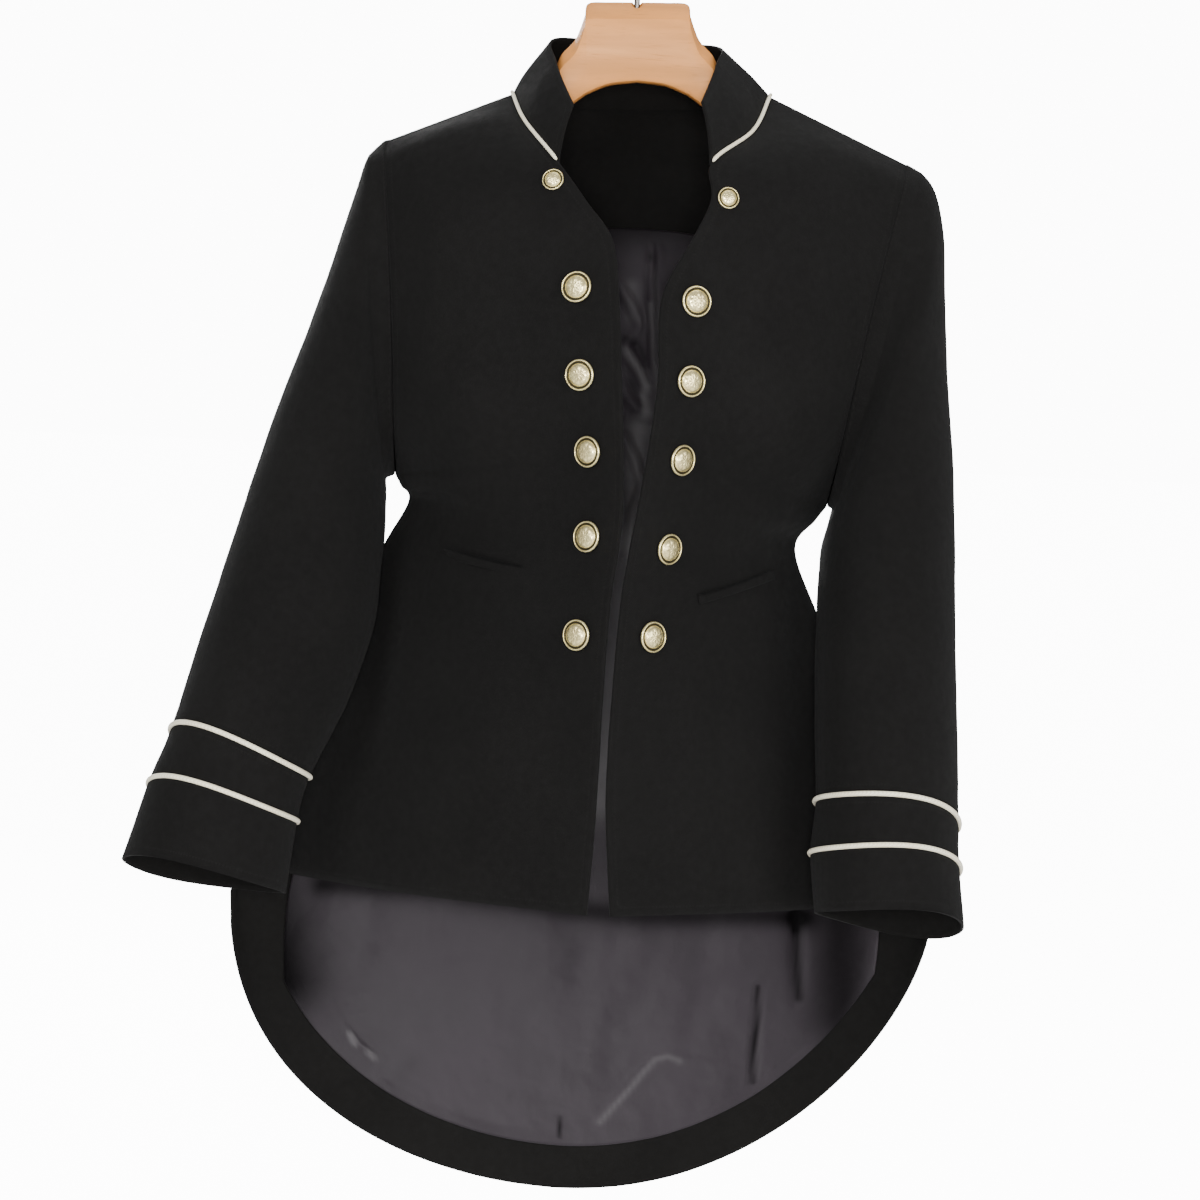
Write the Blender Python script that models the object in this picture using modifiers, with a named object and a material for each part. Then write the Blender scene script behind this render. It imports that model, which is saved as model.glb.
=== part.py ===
"""Military-style blazer on a wooden hanger.

The model is in metres with +Z up. The front faces -Y and the wearer's left is at +X.
The origin is where the hook bears on its rail. Sizes below are in millimetres.
"""
import math

import bmesh
import bpy
import numpy as np
from mathutils import Vector

MM = 0.001
NAME = "blazer"

# Cloth, seams, cords and the rest of a button or welt above the cloth
CLOTH = 2.0
LINING = 1.0
LINING_GAP = 0.6
SEAM = 0.25
SEAT = 0.3
REST = 0.4
MITRE_LEAST = 0.5
FACING = 34.0
PIPING = 1.8
PIPING_END = 0.7

# Rows counted from the shoulder seam down
UNDERARM = 7
SIDE_END = 13
TAIL_END = 14
NECK_ROWS = 2
SEAM_FADE = 2.5
ROW_STEPS = 2
TAIL_STEPS = 8
FRONT_COLUMNS = 7
NECK_COLUMNS = 8
BACK_SPREAD = 76.0
LINING_TOP = 3.5
LINING_INSET = 3
HEM_LEAST = 0.15
SLANT_LEAST = 0.3
PEAK_RANGE = (0.3, 0.9)

# Angle round the armhole at each row, from the shoulder seam to the underarm
ARM_ANGLES = (0, 30, 52, 68, 85, 105, 130, 180)

# Armhole of each side: shoulder point, underarm point, half-width fore and aft
ARMHOLES = {
    "right": dict(top=(-175, 2, -166), low=(-158.5, 4, -403), reach=51, scoop=4),
    "left": dict(top=(197, 2, -166), low=(153, 4, -412), reach=51, scoop=-4),
}

# Front edge of each front, from the neck point along the neckline and down to the hem: x, y, z
FRONT_EDGES = {
    "right": (
        (-85, 5, -128),
        (-74, -38, -149),
        (-50, -78, -176),
        (-29, -95, -203),
        (-10, -108, -229),
        (-4, -121, -269),
        (0, -129, -320),
        (3, -132, -366),
        (5, -133, -408),
        (3, -134, -440),
        (-1, -136, -474),
        (-3, -140, -541),
        (-4, -145, -612),
        (-7, -150, -687),
    ),
    "left": (
        (97, 5, -122),
        (84, -38, -149),
        (56, -78, -172.5),
        (57, -88, -198),
        (45, -102, -226),
        (26, -118, -266),
        (26, -129, -320),
        (22, -132, -364),
        (17, -133, -406),
        (12, -134, -440),
        (8, -136, -474),
        (5, -140, -541),
        (4, -145, -612),
        (10, -150, -687),
    ),
}

# Side seams from the underarm to the hem: x, y, z
SIDE_SEAMS = {
    "right": (
        (-158.5, 4, -403),
        (-154, 3, -411),
        (-148.5, 3, -422),
        (-168, 7, -460),
        (-200, 17, -538),
        (-233, 27, -612),
        (-264, 36, -697),
    ),
    "left": (
        (153, 4, -412),
        (145, 3, -423),
        (132, 3, -443),
        (148, 8, -484),
        (180, 18, -546),
        (213, 28, -616),
        (247, 38, -699),
    ),
}

# How each row of a front swells between its edge and its side: forward, up, place of the peak
FRONT_SWELL = (
    (0, 0, 0.50),
    (5, 7, 0.50),
    (10, 5, 0.55),
    (12, 2, 0.60),
    (13, 0, 0.64),
    (14, 0, 0.68),
    (14, 0, 0.70),
    (20, 0, 0.72),
    (18, 0, 0.70),
    (16, 0, 0.64),
    (16, 0, 0.62),
    (18, 0, 0.60),
    (19, 0, 0.58),
    (18, 0, 0.56),
)

# Centre of the back at each row: x, y, z, and how square the row is across
BACK_CENTRES = (
    (6, 70, -132, 2.0),
    (6, 79, -152, 1.3),
    (6, 86, -176, 1.7),
    (6, 91, -203, 2.0),
    (6, 95, -232, 2.2),
    (5, 98, -270, 2.3),
    (4, 98, -318, 2.3),
    (2, 94, -366, 2.3),
    (0, 84, -408, 2.3),
    (-2, 75, -438, 2.2),
    (-3, 79, -475, 2.2),
    (-5, 92, -541, 2.2),
    (-7, 104, -612, 2.2),
    (-9, 114, -692, 2.2),
)

# Rounded hem of the tail
TAIL = dict(x=-14, right=256, left=262, side=-718, low=-955, push=8, full_right=0.93, full_left=1.28)

# Sleeves from the shoulder to the cuff:
# outer x, z, inner x, z, middle y, half-depth, forward pitch in degrees, warp
SLEEVES = {
    "right": (
        (-175, -166, -158.5, -403, 4, 51, 0, 0),
        (-185, -176, -163.5, -405, 3, 56.5, 0, 0),
        (-193, -202, -164.5, -408.5, 0, 60, 0, 0),
        (-207.5, -251, -164, -414, -4, 62, 2, 0),
        (-223, -302, -163.5, -426, -9, 62, 3, 0),
        (-240, -353, -163, -444, -16, 60, 4, 0),
        (-258, -414, -164, -472, -26, 58, 6, 0),
        (-276, -476, -167, -511, -38, 56, 9, 1),
        (-292, -535, -183, -565, -51, 53, 14, 3),
        (-304.5, -587, -206, -614, -63, 51, 21, 6),
        (-318, -625, -213, -645, -69, 51, 21, 6),
        (-333.5, -677, -218, -695, -78, 51, 18, 4),
    ),
    "left": (
        (197, -166, 153, -412, 4, 51, 0, 0),
        (207.5, -171, 157, -413.5, 3, 56.5, 0, 0),
        (218.5, -186, 156.5, -417, 0, 60, 0, 0),
        (225, -216, 154, -423, -5, 62, 2, 0),
        (228.5, -268, 151.5, -433, -10, 62, 3, 0),
        (233, -322, 148.5, -446, -18, 60, 4, 0),
        (238.5, -382, 147, -468, -28, 58, 6, 0),
        (242.5, -446, 146.5, -501, -44, 55, 9, 1),
        (246, -528, 147.5, -552, -62, 52, 15, 3),
        (251, -627, 150, -612, -78, 50, 24, 6),
        (253, -657, 148, -648, -84, 50, 23, 6),
        (257.5, -696, 152, -689, -93, 50, 20, 6),
    ),
}
HEAD_END = 2
HEAD_STEPS = 4
CUFF_SEAM = 9
CUFF_END = 11
CUFF_STEPS = 4

# Upper edge of the collar from one front end round to the other: x, y, z
COLLAR_TOP = (
    (-42, -66, -136),
    (-56, -22, -105),
    (-56.5, 22, -87),
    (1, 55, -87),
    (57, 22, -88),
    (58, -22, -102),
    (48, -66, -131),
)
COLLAR_MIDDLE = (3, 0, 0)
COLLAR_STEPS = 4
COLLAR_SWELL = 2.5

# Buttons of each front: x, z, radius
BUTTONS = {
    "right": (
        (-52, -190, 7.6),
        (-32, -262, 10.8),
        (-27, -321, 10.8),
        (-19, -373, 10.8),
        (-17, -431, 10.8),
        (-21, -498, 10.8),
    ),
    "left": (
        (68, -197, 7.6),
        (48.5, -268, 10.8),
        (47, -322, 10.8),
        (43.5, -376, 10.8),
        (37.5, -437.5, 10.8),
        (29, -497.5, 10.8),
    ),
}

# Button outline from the crown down to the shank's foot, as shares of its radius
BUTTON_PROFILE = (
    (0, 0.53),
    (0.57, 0.45),
    (0.79, 0.27),
    (0.88, 0.33),
    (1, 0.26),
    (0.94, 0.15),
    (0.25, 0.14),
    (0.25, 0),
    (0, 0),
)
BUTTON_SIDES = 14
MERGE = 0.02

# Search for a row and a place across: start, trial steps, pace and number of moves
LOCATE_START = (6.0, 0.2)
LOCATE_TRIAL = (0.01, 0.001)
LOCATE_PACE = 0.7
LOCATE_MOVES = 60

# Pocket welts of each front: inner end x, z, outer end x, z
POCKETS = {"right": (-61, -459, -119, -453), "left": (61, -473, 115, -459)}
WELT = (7.0, 1.2)
WELT_STEPS = (14, 2)

# Wooden hanger: distance from the middle, top, underside, half-thickness
HANGER = (
    (0, -61, -117, 11),
    (20, -61, -119.5, 11),
    (35, -62, -125.5, 11),
    (37.5, -71, -127, 11),
    (40.5, -80, -129, 11),
    (44.5, -88.5, -132, 11),
    (53, -97.5, -138, 11),
    (58, -107, -142, 11),
    (68, -122, -148, 11.5),
    (90, -135.5, -158, 12),
    (120, -146, -172, 13),
    (150, -160, -184, 13),
    (163, -167, -186, 11),
)
HANGER_X = 0.5
HANGER_TILT = 2.0
HANGER_EDGE = 4.0
HANGER_CROWN = 10.0
HOLE = (3.8, 14.0)
HOLE_SIDES = 20

# Stem of the hanger: how far out it runs and how much lower its front is
HANGER_STEM = 36.0
HANGER_FALL = 5.0

# Rounding of the hanger's crown: shares in and down at its bevel, share in at its top
BEVEL_IN = 0.3
BEVEL_DOWN = 0.62
TOP_IN = 0.9

# Hook: rod radius, radius inside the bow, foot of the rod
HOOK_ROD = 2.0
HOOK_BOW = 20.0
HOOK_FOOT = -74.7
HOOK_NECK = -56.0
HOOK_BEND = ((0.6, -51), (3, -46.2), (6.8, -42.2))
HOOK_ARC = (-60, 216, 12)
HOOK_SIDES = 3
HOOK_TIP = 0.6

COLOURS = {
    "cloth": ((0.012, 0.012, 0.013, 1), 0.0, 0.85),
    "satin": ((0.07, 0.065, 0.08, 1), 0.0, 0.35),
    "cream": ((0.86, 0.78, 0.6, 1), 0.0, 0.5),
    "gold": ((0.83, 0.69, 0.38, 1), 1.0, 0.28),
    "wood": ((0.66, 0.42, 0.22, 1), 0.0, 0.5),
    "steel": ((0.6, 0.6, 0.6, 1), 1.0, 0.25),
}


def spline(rows, u):
    """Point at u of the smooth curve through evenly numbered rows."""
    rows = np.asarray(rows, float)
    u = np.asarray(u, float)
    k = np.clip(np.floor(u).astype(int), 0, len(rows) - 2)
    f = (u - k).reshape(u.shape + (1,) * (rows.ndim - 1))
    ends = np.concatenate([[2 * rows[0] - rows[1]], rows, [2 * rows[-1] - rows[-2]]])
    a, b, c, d = ends[k], ends[k + 1], ends[k + 2], ends[k + 3]
    cubic = (3 * b - a - 3 * c + d) * f ** 3
    return 0.5 * (2 * b + (c - a) * f + (2 * a - 5 * b + 4 * c - d) * f * f + cubic)


def unit(vectors):
    """Vectors at length one."""
    length = np.linalg.norm(vectors, axis=-1, keepdims=True)
    return vectors / np.maximum(length, 1e-9)


def armhole(side, angle, face):
    """Point of the armhole at an angle from the shoulder; face is -1 in front and 1 behind."""
    hole = ARMHOLES[side]
    top = np.array(hole["top"], float)
    low = np.array(hole["low"], float)
    a = math.radians(angle)
    point = (top + low) / 2 + (top - low) / 2 * math.cos(a)
    point[1] += face * hole["reach"] * math.sin(a)
    point[0] += hole["scoop"] * math.sin(a) ** 2
    return point


def side_curve(side, u, face):
    """Outer end of a row: round the armhole above the underarm, on the side seam below it."""
    u = np.asarray(u, float)
    arm = spline([armhole(side, angle, face) for angle in ARM_ANGLES], np.minimum(u, UNDERARM))
    seam = spline(SIDE_SEAMS[side], np.maximum(u - UNDERARM, 0))
    return np.where((u < UNDERARM)[..., None], arm, seam)


def front_point(side, u, t):
    """Point of a front at row u, from its edge at t = 0 to its side at t = 1."""
    edge = spline(FRONT_EDGES[side], u)
    outer = side_curve(side, u, -1)
    swell = spline(FRONT_SWELL, u)
    t = np.asarray(t, float)[..., None]
    peak = np.clip(swell[..., 2:3], *PEAK_RANGE)
    hump = np.sin(math.pi * np.clip(t, 0, 1) ** (math.log(0.5) / np.log(peak)))
    rise = np.concatenate([0 * hump, -swell[..., 0:1] * hump, swell[..., 1:2] * hump], axis=-1)
    return edge + (outer - edge) * t + rise


def tail_point(theta):
    """Point of the tail's hem at an angle across the back."""
    s, c = math.sin(theta), max(math.cos(theta), 0)
    wide = TAIL["left"] if s > 0 else TAIL["right"]
    full = TAIL["full_left"] if s > 0 else TAIL["full_right"]
    z = TAIL["side"] + (TAIL["low"] - TAIL["side"]) * c ** full
    return TAIL["x"] + wide * s, z


def back_angle(column):
    """Angle of a column across the back, a quarter turn each way from the middle."""
    count = 2 * FRONT_COLUMNS + NECK_COLUMNS
    spread = math.radians(BACK_SPREAD)
    across = math.sin(spread * (2 * column / count - 1)) / math.sin(spread)
    return math.asin(max(-1.0, min(1.0, across)))


def back_point(column, u):
    """Point of one column of the back at row u, without the shoulder seam and the tail."""
    theta = back_angle(column)
    side = "left" if theta > 0 else "right"
    t = abs(math.sin(theta))
    seam = side_curve(side, u, 1)
    x, y, z, square = spline(BACK_CENTRES, u)
    across = 1 - t ** square
    place = (x + (seam[0] - x) * t, seam[1] + (y - seam[1]) * across, seam[2] + (z - seam[2]) * across)
    return np.array(place)


def back_column(column, marks):
    """Points of one column of the back, from the shoulder or neck seam to the tail's hem."""
    lift = shoulder_point(column) - back_point(column, 0)
    theta = back_angle(column)
    low = back_point(column, SIDE_END)
    x, z = tail_point(theta)
    hem = np.array((x, low[1] + TAIL["push"] * math.cos(theta), z))
    fall = unit(low - back_point(column, SIDE_END - 0.5)) * np.linalg.norm(hem - low)
    points = []
    for u in marks:
        if u <= SIDE_END:
            points.append(back_point(column, u) + lift * max(0, 1 - u / SEAM_FADE) ** 2)
        else:
            s = u - SIDE_END
            ease = s * s * (3 - 2 * s)
            curl = fall * s * (1 - s) ** 2 + (hem - low) * s * s * (s - 1)
            points.append(low + (hem - low) * ease + curl)
    return np.array(points)


def shoulder_point(column):
    """Upper end of a column of the back: on a shoulder seam or on the back neckline."""
    count = 2 * FRONT_COLUMNS + NECK_COLUMNS
    if column <= FRONT_COLUMNS:
        return front_point("right", np.array(0.0), np.array(1 - column / FRONT_COLUMNS))
    if column >= count - FRONT_COLUMNS:
        return front_point("left", np.array(0.0), np.array(1 - (count - column) / FRONT_COLUMNS))
    a = math.pi * (column - FRONT_COLUMNS) / NECK_COLUMNS
    right = np.array(FRONT_EDGES["right"][0], float)
    left = np.array(FRONT_EDGES["left"][0], float)
    centre = np.array(BACK_CENTRES[0][:3], float)
    middle = (right + left) / 2
    return middle - (left - right) / 2 * math.cos(a) + (centre - middle) * math.sin(a)


def row_marks(last, steps):
    """Row numbers from the shoulder down, with the given steps to a row."""
    return np.linspace(0, last, last * steps + 1)


def front_grid(side):
    """Outer face of a front."""
    u = row_marks(SIDE_END, ROW_STEPS)
    t = np.linspace(0, 1, FRONT_COLUMNS + 1)
    grid_u, grid_t = np.meshgrid(u, t, indexing="ij")
    return front_point(side, grid_u, grid_t)


def back_grid(marks):
    """Outer face of the back at the given row numbers."""
    count = 2 * FRONT_COLUMNS + NECK_COLUMNS
    return np.stack([back_column(c, marks) for c in range(count + 1)], axis=1)


def sleeve_angles():
    """Angle of each point round a sleeve, from the shoulder forward, under and back up."""
    down = spline(np.array(ARM_ANGLES, float)[:, None], row_marks(UNDERARM, ROW_STEPS))[:, 0]
    down[-1] = 180
    return np.concatenate([down, 360 - down[-2:0:-1]])


def sleeve_ring(side, section):
    """Points round a sleeve at a section number."""
    ox, oz, ix, iz, y, reach, pitch, warp = spline(SLEEVES[side], np.array(float(section)))
    points = []
    for angle in sleeve_angles():
        a = math.radians(angle)
        fore = math.sin(a) * reach
        x = (ox + ix) / 2 + (ox - ix) / 2 * math.cos(a)
        z = (oz + iz) / 2 + (oz - iz) / 2 * math.cos(a) + fore * math.tan(math.radians(pitch))
        z += warp * math.sin(a) * math.cos(a)
        points.append((x, y - fore, z))
    return np.array(points)


def armhole_ring(side):
    """The armhole as the fronts and the back leave it."""
    marks = row_marks(UNDERARM, ROW_STEPS)
    fore = side_curve(side, marks, -1)
    aft = side_curve(side, marks, 1)
    return np.concatenate([fore, aft[-2:0:-1]])


def sleeve_grid(side, sections):
    """Outer face of a sleeve through the given section numbers."""
    rings = []
    for section in sections:
        ring = sleeve_ring(side, section)
        if section < 1:
            ring = armhole_ring(side) + (sleeve_ring(side, 1) - armhole_ring(side)) * section
        rings.append(ring)
    return np.array(rings)


def neckline(fronts, back):
    """Seam of the collar from one front end round to the other."""
    rows = NECK_ROWS * ROW_STEPS
    right = fronts["right"][rows:0:-1, 0]
    left = fronts["left"][1:rows + 1, 0]
    return np.concatenate([right, back[0, FRONT_COLUMNS:FRONT_COLUMNS + NECK_COLUMNS + 1], left])


def collar_grid(seam):
    """Outer face of the collar standing on its seam."""
    place = np.linspace(0, len(COLLAR_TOP) - 1, len(seam))
    top = spline(COLLAR_TOP, place)
    middle = (seam + top) / 2 - np.array(COLLAR_MIDDLE)
    middle[:, 2] = 0
    outward = unit(middle)
    grid = []
    for step in range(COLLAR_STEPS + 1):
        s = step / COLLAR_STEPS
        grid.append(seam + (top - seam) * s + outward * COLLAR_SWELL * math.sin(math.pi * s))
    return np.array(grid)


def normals(grid, turn, ring=False):
    """Outward normals of a grid; turn is 1 or -1 and ring joins the last column to the first."""
    down = np.gradient(grid, axis=0)
    if ring:
        across = np.roll(grid, -1, axis=1) - np.roll(grid, 1, axis=1)
    else:
        across = np.gradient(grid, axis=1)
    return unit(np.cross(down, across)) * turn


def place_key(point):
    """Name of a place, the same for points that differ by rounding alone."""
    return tuple(int(v) for v in np.floor((point + 0.0013) * 100))


def mitres(faces):
    """Directions that carry a wall one millimetre inward, shared where faces meet at a seam."""
    meeting = {}
    for grid, normal in faces.values():
        for point, n in zip(grid.reshape(-1, 3), normal.reshape(-1, 3)):
            meeting.setdefault(place_key(point), []).append(n)
    inward = {}
    for name, (grid, normal) in faces.items():
        steps = np.empty(grid.shape)
        for index in np.ndindex(grid.shape[:2]):
            steps[index] = mitre(meeting[place_key(grid[index])])
        inward[name] = steps
    return inward


def mitre(shared):
    """Step that lies one millimetre inside the faces whose normals are given."""
    middle = unit(np.sum(shared, axis=0))
    return -middle / max(MITRE_LEAST, min(float(middle @ n) for n in shared))


def trim(grid, ring=False):
    """Grid drawn back by the seam gap at its open edges."""
    out = grid.copy()
    out[0] += unit(grid[1] - grid[0]) * SEAM
    out[-1] += unit(grid[-2] - grid[-1]) * SEAM
    if not ring:
        out[:, 0] += unit(grid[:, 1] - grid[:, 0]) * SEAM
        out[:, -1] += unit(grid[:, -2] - grid[:, -1]) * SEAM
    return out


def material(kind, name):
    """Plain finish for one piece."""
    colour, metal, rough = COLOURS[kind]
    finish = bpy.data.materials.new(f"{name}_{kind}")
    finish.use_nodes = True
    shader = finish.node_tree.nodes["Principled BSDF"]
    shader.inputs["Base Color"].default_value = colour
    shader.inputs["Metallic"].default_value = metal
    shader.inputs["Roughness"].default_value = rough
    finish.diffuse_color = colour
    return finish


def add_object(name, mesh, kind, smooth=True):
    """Object of a mesh, with its finish, in the blazer's collection."""
    thing = bpy.data.objects.new(name, mesh)
    bpy.data.collections[NAME].objects.link(thing)
    mesh.materials.append(material(kind, name))
    if smooth:
        mesh.shade_smooth()
    else:
        mesh.shade_flat()
    return thing


def closed_mesh(name, vertices, faces):
    """Mesh in metres with its faces turned outward."""
    mesh = bpy.data.meshes.new(name)
    mesh.from_pydata([tuple(np.array(v) * MM) for v in vertices], [], faces)
    form = bmesh.new()
    form.from_mesh(mesh)
    bmesh.ops.recalc_face_normals(form, faces=form.faces)
    form.to_mesh(mesh)
    form.free()
    return mesh


def add_wall(name, outer, inner, kind, ring=False):
    """Closed wall between an outer and an inner grid."""
    rows, columns = outer.shape[:2]
    vertices = list(outer.reshape(-1, 3)) + list(inner.reshape(-1, 3))
    shift = rows * columns
    spans = columns if ring else columns - 1
    faces = []
    for r in range(rows - 1):
        for c in range(spans):
            d = (c + 1) % columns
            quad = (r * columns + c, (r + 1) * columns + c, (r + 1) * columns + d, r * columns + d)
            for half in (quad[:3], (quad[0], quad[2], quad[3])):
                faces.append(half)
                faces.append(tuple(shift + i for i in reversed(half)))
    rims = [[r * columns + c for c in range(columns)] for r in (0, rows - 1)]
    if not ring:
        rims += [[r * columns + c for r in range(rows)] for c in (0, columns - 1)]
    for rim in rims:
        pairs = list(zip(rim, rim[1:]))
        if ring:
            pairs.append((rim[-1], rim[0]))
        faces += [(a, b, shift + b, shift + a) for a, b in pairs]
    return add_object(name, closed_mesh(name, vertices, faces), kind)


def add_cord(name, path, radius, kind, closed=False, sides=1, taper=()):
    """Round cord along a path of points."""
    curve = bpy.data.curves.new(name, "CURVE")
    curve.dimensions = "3D"
    curve.bevel_depth = radius * MM
    curve.bevel_resolution = sides
    curve.use_fill_caps = True
    line = curve.splines.new("POLY")
    line.points.add(len(path) - 1)
    for point, place in zip(line.points, path):
        point.co = (*(np.array(place) * MM), 1)
    for index, factor in taper:
        line.points[index].radius = factor
    line.use_cyclic_u = closed
    line.use_smooth = True
    thing = bpy.data.objects.new(name, curve)
    bpy.data.collections[NAME].objects.link(thing)
    curve.materials.append(material(kind, name))
    return thing


def locate(side, x, z):
    """Row and place across a front where it passes through x and z."""
    u, t = LOCATE_START
    du, dt = LOCATE_TRIAL
    for _ in range(LOCATE_MOVES):
        here = front_point(side, np.array(u), np.array(t))
        by_u = (front_point(side, np.array(u + du), np.array(t)) - here) / du
        by_t = (front_point(side, np.array(u), np.array(t + dt)) - here) / dt
        slopes = np.array([[by_u[0], by_t[0]], [by_u[2], by_t[2]]])
        move = np.linalg.solve(slopes, np.array([x - here[0], z - here[2]]))
        u = float(np.clip(u + LOCATE_PACE * move[0], 0, SIDE_END))
        t = float(np.clip(t + LOCATE_PACE * move[1], 0, 1))
    return u, t


def facet_point(grid, side, x, z):
    """Point and normal of a front's faceted outer face at x and z."""
    u, t = locate(side, x, z)
    r, c = u * ROW_STEPS, t * FRONT_COLUMNS
    i = min(int(r), grid.shape[0] - 2)
    j = min(int(c), grid.shape[1] - 2)
    f, g = r - i, c - j
    a, b = grid[i, j], grid[i, j + 1]
    d, e = grid[i + 1, j], grid[i + 1, j + 1]
    point = (a * (1 - g) + b * g) * (1 - f) + (d * (1 - g) + e * g) * f
    normal = unit(np.cross((e - a), (b - d)))
    return point, normal * (1 if normal[1] < 0 else -1)


def add_button(name, grid, side, x, z, radius):
    """Shank button seated on a front."""
    point, normal = facet_point(grid, side, x, z)
    mesh = bpy.data.meshes.new(name)
    levels = [(r * radius * MM, 0, h * radius * MM) for r, h in BUTTON_PROFILE]
    mesh.from_pydata(levels, [(i, i + 1) for i in range(len(levels) - 1)], [])
    button = add_object(name, mesh, "gold")
    turn = button.modifiers.new("turn", "SCREW")
    turn.steps = BUTTON_SIDES
    turn.render_steps = BUTTON_SIDES
    turn.use_merge_vertices = True
    turn.merge_threshold = MERGE * MM
    button.location = Vector((point + normal * REST) * MM)
    button.rotation_euler = Vector(normal).to_track_quat("Z", "Y").to_euler()


def add_welt(name, grid, side, ends):
    """Pocket welt laid on a front."""
    wide, thick = WELT
    steps, rows = WELT_STEPS
    start, end = np.array(ends[:2], float), np.array(ends[2:], float)
    along = unit(end - start)
    across = np.array((-along[1], along[0]))
    lower = np.empty((rows + 1, steps + 1, 3))
    upper = np.empty(lower.shape)
    for r in range(rows + 1):
        for s in range(steps + 1):
            spot = start + (end - start) * s / steps + across * wide * (r / rows - 0.5)
            point, normal = facet_point(grid, side, spot[0], spot[1])
            lower[r, s] = point + normal * REST
            upper[r, s] = point + normal * (REST + thick)
    add_wall(name, upper, lower, "cloth")


def hanger_section(distance, top, under, half):
    """Outline of the hanger across its length: y and z pairs."""
    edge = min(HANGER_EDGE, (top - under) / 3)
    crown = min(HANGER_CROWN, (top - under) / 3)
    fall = HANGER_FALL / 2 if distance < HANGER_STEM else 0.0
    return (
        (-half + edge, under),
        (half - edge, under),
        (half, under + edge),
        (half, top - crown),
        (half - BEVEL_IN * crown, top - BEVEL_DOWN * crown),
        (half - TOP_IN * crown, top),
        (-half + TOP_IN * crown, top - fall),
        (-half + BEVEL_IN * crown, top - BEVEL_DOWN * crown - fall),
        (-half, top - crown - fall),
        (-half, under + edge),
    )


def add_hanger():
    """Wooden hanger lofted from tip to tip, with the bore for its hook."""
    lean = math.radians(HANGER_TILT)
    rows = [(-d, d, *rest) for d, *rest in reversed(HANGER[1:])]
    rows += [(d, d, *rest) for d, *rest in HANGER]
    vertices = []
    for place, distance, top, under, half in rows:
        for y, z in hanger_section(distance, top, under, half):
            x = HANGER_X + place * math.cos(lean) - (z - HANGER[0][1]) * math.sin(lean)
            vertices.append((x, y, z + place * math.sin(lean)))
    count = len(hanger_section(*HANGER[0]))
    faces = [tuple(range(count)), tuple(range(len(vertices) - count, len(vertices)))]
    for r in range(len(rows) - 1):
        for k in range(count):
            n = (k + 1) % count
            faces.append((r * count + k, r * count + n, (r + 1) * count + n, (r + 1) * count + k))
    hanger = add_object("hanger", closed_mesh("hanger", vertices, faces), "wood", smooth=False)
    radius, depth = HOLE
    bpy.ops.mesh.primitive_cylinder_add(vertices=HOLE_SIDES, radius=radius * MM, depth=2 * depth * MM)
    cutter = bpy.context.object
    cutter.name = "hook_bore"
    cutter.location = (0, 0, HANGER[0][1] * MM)
    for group in cutter.users_collection:
        group.objects.unlink(cutter)
    bpy.data.collections["cutters"].objects.link(cutter)
    cutter.hide_render = True
    cutter.display_type = "WIRE"
    bore = hanger.modifiers.new("bore", "BOOLEAN")
    bore.operation = "DIFFERENCE"
    bore.solver = "EXACT"
    bore.object = cutter


def add_hook():
    """Steel hook from its bore over the rail."""
    line = HOOK_BOW + HOOK_ROD
    path = [(0, 0, HOOK_FOOT), (0, 0, HOOK_NECK)]
    path += [(x, 0, z) for x, z in HOOK_BEND]
    for angle in range(*HOOK_ARC):
        a = math.radians(angle)
        path.append((line * math.cos(a), 0, -HOOK_BOW + line * math.sin(a)))
    last = len(path) - 1
    add_cord("hook", path, HOOK_ROD, "steel", sides=HOOK_SIDES, taper=((last, HOOK_TIP),))


def add_shells():
    """Fronts, back, sleeves, cuffs, collar and lining, with shared seams."""
    fronts = {side: front_grid(side) for side in ("right", "left")}
    upper = row_marks(SIDE_END, ROW_STEPS)
    tail = np.linspace(SIDE_END, TAIL_END, TAIL_STEPS + 1)[1:]
    back = back_grid(np.concatenate([upper, tail]))
    faces = {
        "front_right": (fronts["right"], normals(fronts["right"], -1)),
        "front_left": (fronts["left"], normals(fronts["left"], 1)),
        "back": (back, normals(back, -1)),
    }
    seam = neckline(fronts, back)
    collar = collar_grid(seam)
    faces["collar"] = (collar, normals(collar, 1))
    for side, turn in (("right", 1), ("left", -1)):
        head = np.linspace(0, HEAD_END, HEAD_STEPS + 1)
        top = np.concatenate([head, np.arange(HEAD_END + 1, CUFF_SEAM + 1)])
        cuff = np.linspace(CUFF_SEAM, CUFF_END, CUFF_STEPS + 1)
        for name, sections in ((f"sleeve_{side}", top), (f"cuff_{side}", cuff)):
            grid = sleeve_grid(side, sections)
            faces[name] = (grid, normals(grid, turn, ring=True))
    inward = mitres(faces)
    for name, (grid, normal) in faces.items():
        ring = name.startswith(("sleeve", "cuff"))
        inner = grid + inward[name] * CLOTH
        add_wall(name, trim(grid, ring), trim(inner, ring), "cloth", ring)
    add_lining(back, faces["back"][1])
    add_collar_piping(seam, faces)
    for side in ("right", "left"):
        add_cuff_piping(side, faces[f"cuff_{side}"])
        for number, (x, z, radius) in enumerate(BUTTONS[side]):
            add_button(f"button_{side}_{number}", fronts[side], side, x, z, radius)
        add_welt(f"welt_{side}", fronts[side], side, POCKETS[side])


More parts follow.
